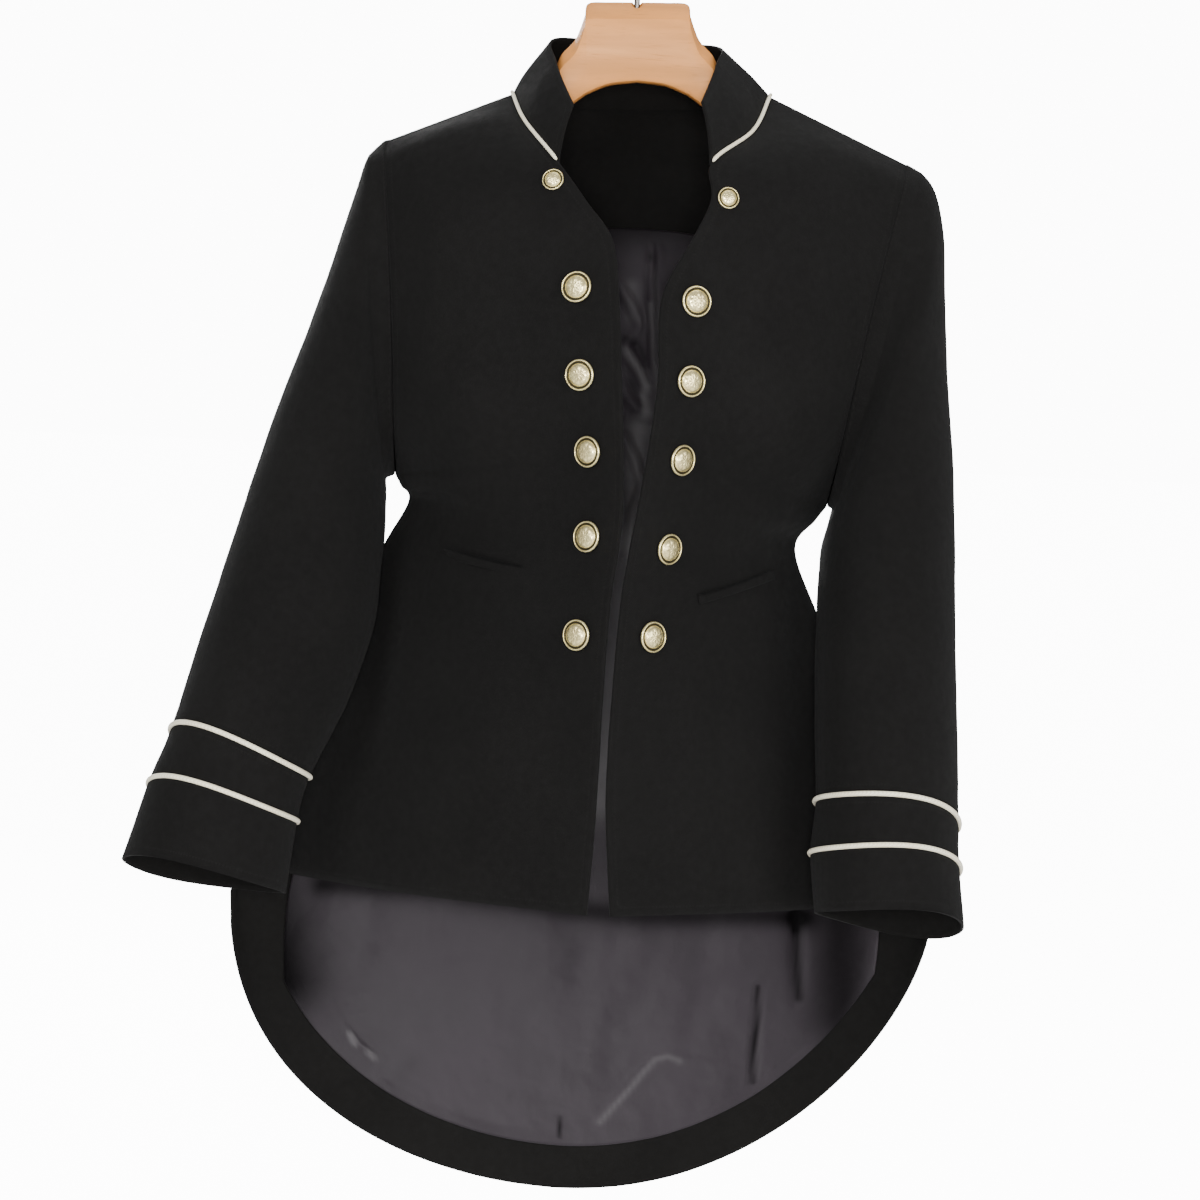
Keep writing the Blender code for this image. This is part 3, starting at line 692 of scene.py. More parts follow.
BACK_FOLDS = folds(Face.BEHIND, (
    (((-142, -420), (-96, -426), (-48, -418)), 2.0, 8.0, 0.6),
    (((138, -436), (92, -436), (44, -426)), 2.1, 8.0, -0.6),
    (((-120, -300), (-84, -345), (-60, -402)), 2.0, 14.0, 0.5),
    (((118, -306), (84, -350), (62, -404)), 2.0, 14.0, -0.5),
    (((-150, -200), (-122, -240), (-112, -300)), 1.6, 12.0, 0.5),
    (((158, -205), (128, -245), (116, -300)), 1.6, 12.0, -0.5),
    (((-66, -470), (-84, -620), (-96, -820)), 3.2, 16.0, 0.5),
    (((62, -476), (74, -620), (84, -830)), 3.0, 16.0, -0.5),
    (((-138, -520), (-164, -660), (-176, -800)), 2.4, 14.0, 0.5),
    (((138, -540), (152, -680), (160, -800)), 2.6, 14.0, -0.5),
    (((-10, -520), (-12, -700), (-14, -920)), 1.4, 18.0, 0.4),
))

LINING_FOLDS = folds(Face.BOTH, (
    (((19, -232), (21, -272), (26, -330)), 5.0, 3.2, 0.8),
    (((-6, -258), (6, -276), (14, -291)), 4.5, 4.0, -0.8),
    (((14, -291), (3, -306), (14, -323), (22, -338)), 4.5, 3.6, 0.8),
    (((2, -340), (14, -352), (24, -356)), 4.0, 4.0, -0.7),
    (((4, -372), (14, -388), (20, -408)), 4.0, 4.0, 0.7),
    (((22, -404), (14, -430), (12, -462)), 3.4, 4.0, -0.7),
    (((-60, -260), (-66, -330), (-52, -400)), 2.4, 9.0, 0.5),
    (((64, -260), (70, -330), (56, -400)), 2.4, 9.0, -0.5),
    (((127, -786), (127, -823), (126, -860)), 3.0, 3.0, -0.8),
    (((11, -901), (33, -873), (51, -850), (72, -846)), -3.0, 5.0, 0.6),
    (((151, -715), (154, -750), (156, -790)), 4.0, 6.0, 0.7),
    (((-240, -770), (-220, -816), (-203, -847)), 3.0, 5.0, 0.7),
    (((-184, -828), (-174, -842), (-162, -852)), 1.6, 3.0, 0.7),
    (((-90, -700), (-60, -790), (-20, -900)), 2.2, 18.0, 0.4),
    (((70, -700), (48, -780), (4, -880)), 2.0, 18.0, -0.4),
))

# Painted shade and painted highlights of the lining: shadows of the fronts and cuffs on its tail, shade and
# light on its creases and in the front opening; line of points x, z, then strength and reach
LINING_SHADES = tuple(Shade(*row) for row in (
    (((178, -690), (186, -745), (192, -800)), 0.85, 28.0),
    (((150, -715), (154, -750), (157, -790)), 0.6, 3.0),
    (((-262, -690), (-244, -745), (-232, -790)), 1.0, 32.0),
    (((-205, -716), (-110, -723), (-26, -735), (34, -738), (155, -728)), 0.75, 10.0),
    (((127, -786), (127, -823), (126, -859)), 0.85, 1.6),
    (((-21, -898), (-19, -914)), 0.8, 1.5),
    (((11, -901), (33, -873), (51, -849), (60, -846), (70, -849)), -0.26, 2.6),
    (((-240, -780), (-220, -817), (-203, -846)), -0.34, 3.0),
    (((-182, -833), (-178, -841)), -0.4, 2.2),
    (((-168, -848), (-163, -853)), -0.35, 2.2),
    (((-30, -212), (20, -210), (60, -208)), 0.85, 24.0),
    (((14, -450), (9, -560), (-1, -650)), -0.55, 14.0),
    (((215, -742), (209, -768), (196, -800)), -0.2, 6.0),
    (((19, -246), (25, -293), (31, -345)), -0.42, 3.8),
    (((6, -262), (8, -284)), -0.30, 6.0),
    (((3, -309), (15, -323), (21, -336)), -0.55, 3.0),
    (((17, -342), (21, -354)), -0.60, 4.5),
    (((16, -368), (15, -398), (14, -450)), -0.60, 8.0),
    (((19, -238), (20, -271)), 0.5, 1.6),
    (((2, -300), (14, -306), (18, -318)), 0.45, 3.0),
    (((8, -332), (14, -340), (16, -352)), 0.4, 2.6),
))

# Slow unevenness of the cloth, of the left front, and of the lining
CLOTH_DRAPES = (Drape(0.9, 70.0), Drape(0.35, 22.0, 1.5, 7.0))
LEFT_DRAPES = (Drape(0.9, 70.0, seed=31.0), Drape(0.35, 22.0, 1.5, 17.0))
LINING_DRAPES = (Drape(1.6, 46.0, 1.8, 3.0), Drape(0.8, 17.0, 1.3, 11.0))

SLEEVE_FACES = (Face.FRONT, Face.BOTH, Face.BOTH, Face.BOTH, Face.BEHIND, Face.BOTH)
SLEEVE_FOLDS = {
    Side.RIGHT: folds(SLEEVE_FACES, (
        (((-176, -210), (-172, -290), (-170, -380)), 2.0, 10.0, -0.5),
        (((-172, -400), (-206, -430), (-236, -470)), 1.8, 12.0, 0.6),
        (((-182, -470), (-220, -505), (-256, -520)), 1.6, 12.0, -0.6),
        (((-262, -430), (-276, -500), (-290, -560)), 1.2, 14.0, 0.5),
        (((-200, -260), (-206, -330), (-214, -400)), 1.4, 14.0, 0.5),
        (((-222, -560), (-240, -600), (-262, -616)), 1.0, 10.0, 0.5),
    )),
    Side.LEFT: folds(SLEEVE_FACES, (
        (((206, -230), (190, -290), (176, -350)), 2.2, 10.0, 0.5),
        (((160, -420), (188, -450), (214, -470)), 1.8, 12.0, -0.6),
        (((158, -490), (190, -520), (226, -530)), 1.6, 12.0, 0.6),
        (((228, -400), (236, -480), (240, -560)), 1.2, 14.0, -0.5),
        (((200, -260), (196, -330), (200, -400)), 1.4, 14.0, -0.5),
        (((166, -570), (196, -600), (226, -606)), 1.0, 10.0, -0.5),
    )),
}

CUFF_FOLDS = folds(Face.BOTH, ((((-270, -620), (-276, -660), (-280, -700)), 0.8, 12.0, 0.4),))


class Nodes:
    """Short way to place and join the nodes of one tree.

    Attributes:
        tree: Node tree of a material, a world or a group.
    """

    def __init__(self, tree: bpy.types.NodeTree) -> None:
        """Start with an existing tree."""
        self.tree = tree

    def feed(self, node: bpy.types.Node, inputs: dict) -> None:
        """Set or join a node's inputs.

        Args:
            node: The node.
            inputs: Values or output sockets, by the input's name or number.
        """
        for name, value in inputs.items():
            if isinstance(value, Socket):
                self.tree.links.new(value, node.inputs[name])
            else:
                node.inputs[name].default_value = value

    def add(self, kind: str, inputs: dict | None = None, **settings: object) -> bpy.types.Node:
        """Place a shader node.

        Args:
            kind: Its type name without ShaderNode.
            inputs: Values or output sockets for its inputs, by name or number.
            **settings: Its own properties.

        Returns:
            The node.
        """
        node = self.tree.nodes.new("ShaderNode" + kind)
        for name, value in settings.items():
            setattr(node, name, value)
        self.feed(node, inputs or {})
        return node

    def math(self, operation: str, *values: object) -> Socket:
        """Result of a sum on numbers or sockets."""
        return self.add("Math", dict(enumerate(values)), operation=operation).outputs[0]

    def times(self, first: object, second: object) -> Socket:
        """Product of two numbers or sockets."""
        return self.math("MULTIPLY", first, second)

    def plus(self, first: object, second: object) -> Socket:
        """Sum of two numbers or sockets."""
        return self.math("ADD", first, second)

    def minus(self, first: object, second: object) -> Socket:
        """Difference of two numbers or sockets."""
        return self.math("SUBTRACT", first, second)

    def over(self, first: object, second: object) -> Socket:
        """First number or socket divided by the second."""
        return self.math("DIVIDE", first, second)

    def wave(self, turns: object, pace: float = 1.0) -> Socket:
        """Sine that comes round once for each whole number of turns, pace times as fast."""
        return self.math("SINE", self.times(turns, 2 * math.pi * pace))

    def mark(self, name: str) -> Socket:
        """Number kept on the mesh under a name."""
        return self.add("Attribute", attribute_name=name).outputs["Fac"]

    def cut(self) -> Socket:
        """Place on the piece's own flat pattern."""
        return self.add("UVMap", uv_map="cut").outputs[0]

    def noise(self, place: object, scale: object, detail: float, twist: float = 0.0) -> Socket:
        """Noise from 0 to 1 at a place."""
        inputs = {"Vector": place, "Scale": scale, "Detail": detail, "Distortion": twist}
        return self.add("TexNoise", inputs).outputs[0]

    def ramp(self, value: object, low: float, high: float, start: float = 0.0,
             end: float = 1.0) -> Socket:
        """Value carried from start..end to low..high, held at both ends."""
        inputs = {"Value": value, "From Min": start, "From Max": end, "To Min": low, "To Max": high}
        return self.add("MapRange", inputs).outputs["Result"]

    def blend(self, share: object, first: object, second: object) -> Socket:
        """Colour between two colours."""
        return self.add("Mix", {0: share, 6: first, 7: second}, data_type="RGBA").outputs[2]


class Group:
    """Shader node group that several finishes share, built once."""

    made: dict[str, bpy.types.NodeTree] = {}

    def __init__(self, name: str, inputs: dict[str, float], outputs: tuple[str, ...]) -> None:
        """Open the group with its sockets.

        Args:
            name: Name of the group.
            inputs: Number inputs and their usual values.
            outputs: Number outputs.
        """
        self.tree = bpy.data.node_groups.new(name, "ShaderNodeTree")
        sides = [("INPUT", label) for label in inputs] + [("OUTPUT", label) for label in outputs]
        for side, label in sides:
            socket = self.tree.interface.new_socket(label, in_out=side, socket_type="NodeSocketFloat")
            if side == "INPUT":
                socket.default_value = inputs[label]
        self.nodes = Nodes(self.tree)
        self.given = self.tree.nodes.new("NodeGroupInput").outputs
        self.result = self.tree.nodes.new("NodeGroupOutput")

    def give(self, **values: Socket) -> None:
        """Send values out of the group, by the names of its outputs."""
        self.nodes.feed(self.result, values)

    @classmethod
    def place(cls, nodes: Nodes, maker: Callable[[], "Group"], **inputs: object) -> bpy.types.NodeOutputs:
        """Place a group in a tree.

        Args:
            nodes: Tree that it goes in.
            maker: Function that builds the group the first time.
            **inputs: Values for its inputs, by name.

        Returns:
            The group's outputs.
        """
        key = maker.__name__
        if key not in cls.made:
            cls.made[key] = maker().tree
        return nodes.add("Group", inputs, node_tree=cls.made[key]).outputs


def twill_group() -> Group:
    """Twill weave on a piece's own flat pattern, with its diagonal ribs and its fibres, and a painted shade
    that follows their height.
    """
    group = Group("twill_weave", {"Pitch": 0.0009, "Fibre": 0.5}, ("Height", "Shade"))
    nodes = group.nodes
    flat = nodes.cut()
    u, v, _ = nodes.add("SeparateXYZ", {0: flat}).outputs
    pitch = group.given["Pitch"]
    rib = nodes.wave(nodes.over(nodes.plus(u, v), pitch))
    thread = nodes.wave(nodes.over(nodes.minus(u, nodes.times(v, YARN_SLANT)), pitch), YARN_PACE)
    fibre = nodes.noise(flat, FIBRE_SCALE, 3.0)
    fuzz = nodes.times(nodes.minus(fibre, 0.5), group.given["Fibre"])
    weave = nodes.plus(nodes.times(rib, RIB_HEIGHT), nodes.times(thread, YARN_HEIGHT))
    height = nodes.plus(weave, fuzz)
    # Shade: painted shade, darker in the weave's low places and lighter on its high ones
    group.give(Height=height, Shade=nodes.ramp(height, 0.0, 1.0, -WEAVE_REACH, WEAVE_REACH))
    return group


def stitch_group() -> Group:
    """Line of stitches at a distance from the edges of a piece."""
    sizes = {"Inset": 0.006, "Length": 0.0028, "Width": 0.0007}
    group = Group("edge_stitches", sizes, ("Groove", "Thread"))
    nodes = group.nodes
    off = nodes.over(nodes.minus(nodes.mark("edge"), group.given["Inset"]), group.given["Width"])
    near = nodes.math("EXPONENT", nodes.times(nodes.times(off, off), -1.0))
    beat = nodes.wave(nodes.over(nodes.mark("along"), group.given["Length"]))
    group.give(Groove=near, Thread=nodes.times(near, nodes.ramp(beat, 0.0, 1.0, *STITCH_BEAT)))
    return group


def mottle_group() -> Group:
    """Slow unevenness of a finish over a piece, for colour and for gloss."""
    group = Group("slow_mottle", {"Size": 0.05, "Grain": 0.004}, ("Broad", "Fine"))
    nodes = group.nodes
    here = nodes.add("TexCoord").outputs["Object"]
    for label, source, detail in (("Broad", "Size", 3.0), ("Fine", "Grain", 5.0)):
        cloud = nodes.noise(here, nodes.over(1.0, group.given[source]), detail)
        group.give(**{label: nodes.ramp(cloud, 0.0, 1.0, *CLOUD_RANGE)})
    return group


@dataclass(frozen=True)
class Finish:
    """What every finish has.

    Attributes:
        name: Name of the material.
        slot: Name of its material slot; not used.
        colour: Main colour.
        roughness: Main roughness.
        tones: Shares of the colour in its dark and in its light places.
        spread: What is added to the roughness in its smooth and in its rough places.
        clouds: Sizes of its broad and of its fine unevenness, in metres.
        relief: Depth of its surface, in metres.
        sheen: Weight and roughness of its sheen.
        specular: Strength of its mirror light.
    """

    name: str
    slot: str
    colour: Colour
    roughness: float
    tones: Pair = (1.0, 1.0)
    spread: Pair = (0.0, 0.0)
    clouds: Pair = (0.05, 0.004)
    relief: float = 0.0001
    sheen: Pair = (0.0, 0.5)
    specular: float = 0.5

    def material(self) -> bpy.types.Material:
        """The material, built the first time that it is asked for."""
        found = bpy.data.materials.get(self.name)
        if found:
            return found
        made = bpy.data.materials.new(self.name)
        made.use_nodes = True
        made.node_tree.nodes.clear()
        nodes = Nodes(made.node_tree)
        shader = nodes.add("BsdfPrincipled", {
            "Base Color": self.colour, "Roughness": self.roughness, "Specular IOR Level": self.specular,
            "Sheen Weight": self.sheen[0], "Sheen Roughness": self.sheen[1],
        })
        nodes.add("OutputMaterial", {0: shader.outputs[0]})
        look = self.dress(nodes)
        bump = nodes.add("Bump", {"Height": look.pop("Height"), "Distance": self.relief, "Strength": 1.0})
        nodes.feed(shader, look | {"Normal": bump.outputs[0]})
        made.diffuse_color = self.colour
        return made

    def dress(self, nodes: Nodes) -> dict:
        """What the finish has beyond its plain colour.

        Args:
            nodes: The material's nodes.

        Returns:
            Inputs for the shader by name, and the Height of the surface.
        """
        raise NotImplementedError

    def tint(self, share: float) -> Colour:
        """The colour made lighter or darker by a share."""
        return (*(min(1.0, c * share) for c in self.colour[:3]), 1.0)

    def toned(self, nodes: Nodes, share: object) -> Socket:
        """The colour between its dark and its light tone."""
        return nodes.blend(share, *(self.tint(tone) for tone in self.tones))

    def gloss(self, nodes: Nodes, share: object) -> Socket:
        """The roughness between its smooth and its rough places."""
        return nodes.ramp(share, *(self.roughness + more for more in self.spread))

    def cloud(self, nodes: Nodes) -> bpy.types.NodeOutputs:
        """The finish's broad and fine unevenness."""
        return Group.place(nodes, mottle_group, Size=self.clouds[0], Grain=self.clouds[1])


@dataclass(frozen=True)
class ClothFinish(Finish):
    """Matt twill with stitched edges.

    Attributes:
        pitch: Distance between the ribs of the twill, in metres.
        fibre: Height of its fibres beside its ribs.
        shares: How much of its tone comes from the weave's painted shade and from the slow unevenness.
        deep: Share of the colour that is left where its painted shade is darkest.
        thread: Share of the colour that its stitches have.
        sunk: How deep a line of stitches lies, and how high each stitch stands in it.
        stitched: Whether its edges are stitched.
    """

    tones: Pair = (0.7, 1.35)
    spread: Pair = (-0.06, 0.06)
    clouds: Pair = (0.07, 0.006)
    relief: float = 0.00012
    sheen: Pair = (0.022, 0.45)
    specular: float = 0.11
    pitch: float = 0.0009
    fibre: float = 0.6
    shares: Pair = (0.6, 0.4)
    deep: float = 0.1
    thread: float = 1.4
    sunk: Pair = (-1.0, 0.8)
    stitched: bool = True

    def dress(self, nodes: Nodes) -> dict:
        """Weave, mottle, painted shade and stitches."""
        weave = Group.place(nodes, twill_group, Pitch=self.pitch, Fibre=self.fibre)
        cloud = self.cloud(nodes)
        parts = (nodes.times(weave["Shade"], self.shares[0]), nodes.times(cloud["Broad"], self.shares[1]))
        # The deep mark darkens the colour: painted shade, as along a pocket's mouth
        colour = nodes.blend(nodes.mark("deep"), self.toned(nodes, nodes.plus(*parts)), self.tint(self.deep))
        height = weave["Height"]
        if self.stitched:
            sewn = Group.place(nodes, stitch_group)
            colour = nodes.blend(sewn["Thread"], colour, self.tint(self.thread))
            dip = nodes.times(sewn["Groove"], self.sunk[0])
            rise = nodes.times(sewn["Thread"], self.sunk[1])
            height = nodes.plus(height, nodes.plus(dip, rise))
        return {"Base Color": colour, "Roughness": self.gloss(nodes, cloud["Fine"]), "Height": height}


@dataclass(frozen=True)
class SatinFinish(Finish):
    """Smooth lining with a soft gloss and small crumples.

    Attributes:
        pitch: Distance between its threads, in metres.
        fibre: Height of its fibres beside its threads.
        deep: Share of the colour that is left where its painted shade is darkest.
        glint: Colour where the light catches a crease.
        shine: Strength of its mirror light outside and inside its painted shade.
        heights: How high its weave and its small crumples stand.
    """

    tones: Pair = (0.86, 1.12)
    spread: Pair = (-0.06, 0.1)
    clouds: Pair = (0.12, 0.016)
    relief: float = 0.00016
    sheen: Pair = (0.03, 0.3)
    pitch: float = 0.0004
    fibre: float = 0.3
    deep: float = 0.06
    glint: Colour = (0.135, 0.130, 0.133, 1.0)
    shine: Pair = (0.2, 0.03)
    heights: Pair = (0.25, 2.0)

    def dress(self, nodes: Nodes) -> dict:
        """Fine weave, painted shade and painted highlights, and the changing gloss of satin."""
        weave = Group.place(nodes, twill_group, Pitch=self.pitch, Fibre=self.fibre)
        cloud = self.cloud(nodes)
        deep = nodes.mark("deep")
        # Painted shade darkens the colour; below 0 the deep mark paints highlights in the glint colour
        dark = nodes.ramp(deep, 0.0, 1.0)
        colour = nodes.blend(dark, self.toned(nodes, cloud["Broad"]), self.tint(self.deep))
        colour = nodes.blend(nodes.ramp(deep, 0.0, 1.0, 0.0, -1.0), colour, self.glint)
        low, high = self.heights
        return {
            "Base Color": colour,
            "Roughness": self.gloss(nodes, cloud["Broad"]),
            "Specular IOR Level": nodes.ramp(dark, *self.shine),
            "Height": nodes.plus(nodes.times(weave["Height"], low), nodes.times(cloud["Fine"], high)),
        }


@dataclass(frozen=True)
class CordFinish(Finish):
    """Twisted cord of the piping.

    Attributes:
        strands: Turns of its strands to a metre along it and to a metre round it.
        warm: Colour of its warm places.
        warmth: How strong they are.
        groove: Heights of a strand between which its painted shade goes from dark to light.
        fuzz: How high its fibres stand.
    """

    tones: Pair = (0.84, 1.08)
    clouds: Pair = (0.03, 0.002)
    relief: float = 0.00009
    sheen: Pair = (0.2, 0.5)
    strands: Pair = (1 / 0.0028, 180.0)
    warm: Colour = (0.8, 0.62, 0.38, 1.0)
    warmth: float = 0.35
    groove: Pair = (-1.0, 0.1)
    fuzz: float = 0.4

    def dress(self, nodes: Nodes) -> dict:
        """Twist of the strands, with painted shade between them."""
        across, along, _ = nodes.add("SeparateXYZ", {0: nodes.cut()}).outputs
        turns = nodes.plus(nodes.times(along, self.strands[0]), nodes.times(across, self.strands[1]))
        strand = nodes.wave(turns)
        cloud = self.cloud(nodes)
        # Painted shade between the strands
        colour = self.toned(nodes, nodes.ramp(strand, 0.0, 1.0, *self.groove))
        colour = nodes.blend(nodes.times(cloud["Broad"], self.warmth), colour, self.warm)
        return {"Base Color": colour, "Height": nodes.plus(strand, nodes.times(cloud["Fine"], self.fuzz))}


@dataclass(frozen=True)
class MetalFinish(Finish):
    """Polished metal, rougher in its hollows, with painted shade there.

    Attributes:
        hollow: Colour of the painted shade in the hollows.
        metal: How metallic it is; a worn gilding is less so.
        depths: Depths of a hollow between which its painted shade goes from none to full.
        dull: How much of the hollow's colour shows where the painted shade is strongest.
        rough: What the hollows add to the roughness.
    """

    tones: Pair = (0.88, 1.06)
    spread: Pair = (-0.05, 0.09)
    clouds: Pair = (0.006, 0.0008)
    relief: float = 0.00003
    hollow: Colour = (0.012, 0.010, 0.007, 1.0)
    metal: float = 1.0
    depths: Pair = (0.3, 1.0)
    dull: float = 0.95
    rough: float = 0.3

    def dress(self, nodes: Nodes) -> dict:
        """Painted shade where the relief is low, also rougher there, and small scratches."""
        cloud = self.cloud(nodes)
        # Painted shade in the hollows: darker colour, and more roughness
        hollow_shade = nodes.times(nodes.ramp(nodes.mark("hollow"), 0.0, 1.0, *self.depths), self.dull)
        return {
            "Metallic": self.metal,
            "Base Color": nodes.blend(hollow_shade, self.toned(nodes, cloud["Broad"]), self.hollow),
            "Roughness": nodes.plus(self.gloss(nodes, cloud["Fine"]), nodes.times(hollow_shade, self.rough)),
            "Height": cloud["Fine"],
        }


@dataclass(frozen=True)
class WoodFinish(Finish):
    """Varnished wood with its grain along the hanger.

    Attributes:
        coat: Weight and roughness of its varnish.
        grain: Fineness of its grain along X, Y and Z, to a metre.
        figure: Scale, detail and twist of its grain.
        pores: Fineness of its pores along X, Y and Z, to a metre.
        bands: Noise between which it goes from dark to light.
        flecks: Noise between which a pore closes, and how dark it is at most.
        dark: Share of the colour that is left in a pore.
        pit: How deep the pores are.
    """

    tones: Pair = (0.88, 1.1)
    spread: Pair = (0.05, -0.05)
    relief: float = 0.00015
    specular: float = 0.18
    coat: Pair = (0.05, 0.3)
    grain: Three = (6.0, 55.0, 55.0)
    figure: Three = (1.6, 6.0, 0.6)
    pores: Three = (90.0, 1400.0, 1400.0)
    bands: Pair = (0.3, 0.7)
    flecks: Three = (0.6, 0.75, 0.35)
    dark: float = 0.55
    pit: float = -1.5

    def dress(self, nodes: Nodes) -> dict:
        """Grain and pores under a thin varnish."""
        here = nodes.add("TexCoord").outputs["Object"]
        laid, bored = (nodes.add("Mapping", {"Vector": here, "Scale": scale}).outputs[0]
                       for scale in (self.grain, self.pores))
        grain = nodes.noise(laid, *self.figure)
        band = nodes.ramp(grain, 0.0, 1.0, *self.bands)
        start, end, most = self.flecks
        fleck = nodes.ramp(nodes.noise(bored, 1.0, 2.0), 0.0, most, start, end)
        return {
            "Coat Weight": self.coat[0],
            "Coat Roughness": self.coat[1],
            "Base Color": nodes.blend(fleck, self.toned(nodes, band), self.tint(self.dark)),
            "Roughness": self.gloss(nodes, band),
            "Height": nodes.plus(grain, nodes.times(fleck, self.pit)),
        }


SHELL = ClothFinish("black_twill", "cloth", (0.0050, 0.0047, 0.0045, 1.0), 0.82)
# Lighter copy of the shell's black cloth: painted light on the insides and facings, which lie in shade
INSIDE = ClothFinish("black_facing", "cloth", (0.0072, 0.0068, 0.0064, 1.0), 0.9, sheen=(0.0, 0.45),
                     stitched=False)
SATIN = SatinFinish("grey_satin", "satin", (0.030, 0.0245, 0.0295, 1.0), 0.36)
PIPE = CordFinish("cream_cord", "cream", (0.97, 0.89, 0.68, 1.0), 0.5)
GOLD = MetalFinish("pale_gold", "gold", (1.0, 0.83, 0.42, 1.0), 0.27, metal=0.86)
STEEL = MetalFinish("plated_wire", "steel", (0.22, 0.20, 0.18, 1.0), 0.3)
WOOD = WoodFinish("varnished_wood", "wood", (0.70, 0.285, 0.072, 1.0), 0.45)


def linked(name: str, data: bpy.types.ID) -> bpy.types.Object:
    """New object in the scene.

    Args:
        name: Name of the object.
        data: Its mesh, lamp or camera.

    Returns:
        The object.
    """
    thing = bpy.data.objects.new(name, data)
    bpy.context.scene.collection.objects.link(thing)
    return thing


def finished(name: str, form: bmesh.types.BMesh) -> bpy.types.Mesh:
    """New mesh of a form, which is then let go.

    Args:
        name: Name of the mesh.
        form: The form.

    Returns:
        The mesh.
    """
    mesh = bpy.data.meshes.new(name)
    form.to_mesh(mesh)
    form.free()
    return mesh


def laid_mesh(name: str, points: np.ndarray, outward: np.ndarray, ring: bool, closed: bool = False,
              marks: dict[str, np.ndarray] | None = None) -> bpy.types.Mesh:
    """Mesh of a flat grid laid on a surface.

    Args:
        name: Name of the mesh.
        points: Places in millimetres, rows by columns.
        outward: Rough outward directions at the same places.
        ring: Whether the last column is sewn to the first.
        closed: Whether the last row is sewn to the first.
        marks: Numbers to keep on the points, by name.

    Returns:
        The mesh, in metres, with its flat pattern as the UV map "cut".
    """
    rows, columns = points.shape[:2]
    spans = columns if ring else columns - 1
    lengths = rows if closed else rows - 1
    form = bmesh.new()
    pattern = form.loops.layers.uv.new("cut")
    layers = {label: form.verts.layers.float.new(label) for label in marks or {}}
    bmesh.ops.create_grid(form, x_segments=spans, y_segments=lengths, size=1.0)
    down, across = run(points, 0), run(points, 1)
    across -= across[:, columns // 2:columns // 2 + 1]
    step = 2 * across[:, -1] - across[:, -2]
    flat: dict[int, Pair] = {}
    form.verts.ensure_lookup_table()
    for vert in form.verts:
        c = round((vert.co.x + 1) / 2 * spans)
        r = round((vert.co.y + 1) / 2 * lengths)
        i, j = r % rows, c % columns
        u = across[i, j] if c < columns else step[i]
        flat[vert.index] = (u * MM, down[i, j] * MM if r < rows else down[-1, j] * MM)
        vert.co = Vector(points[i, j]) * MM
        vert.normal = Vector(outward[i, j])
        for label, layer in layers.items():
            vert[layer] = float(marks[label][i, j])
    agree = 0.0
    for face in form.faces:
        for loop in face.loops:
            loop[pattern].uv = flat[loop.vert.index]
        wanted = sum((vert.normal for vert in face.verts), Vector())
        face.normal_update()
        agree += face.normal.dot(wanted)
        face.smooth = True
    if agree < 0:
        bmesh.ops.reverse_faces(form, faces=form.faces)
    if ring or closed:
        bmesh.ops.remove_doubles(form, verts=form.verts, dist=MERGE)
    form.normal_update()
    return finished(name, form)


def placed(name: str, mesh: bpy.types.Mesh, finishes: tuple[Finish, ...],
           nodes: tuple[str, ...]) -> bpy.types.Object:
    """Object of a finished mesh that rides on the blazer and stands for its solids.

    Args:
        name: Name of the piece.
        mesh: Its mesh, in place.
        finishes: Its finishes in the order of its material slots.
        nodes: Solids that it stands for.

    Returns:
        The object.
    """
    piece = linked(name, mesh)
    for finish in finishes:
        mesh.materials.append(finish.material())
    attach(piece, BODY)
    if nodes:
        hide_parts(*nodes)
    return piece


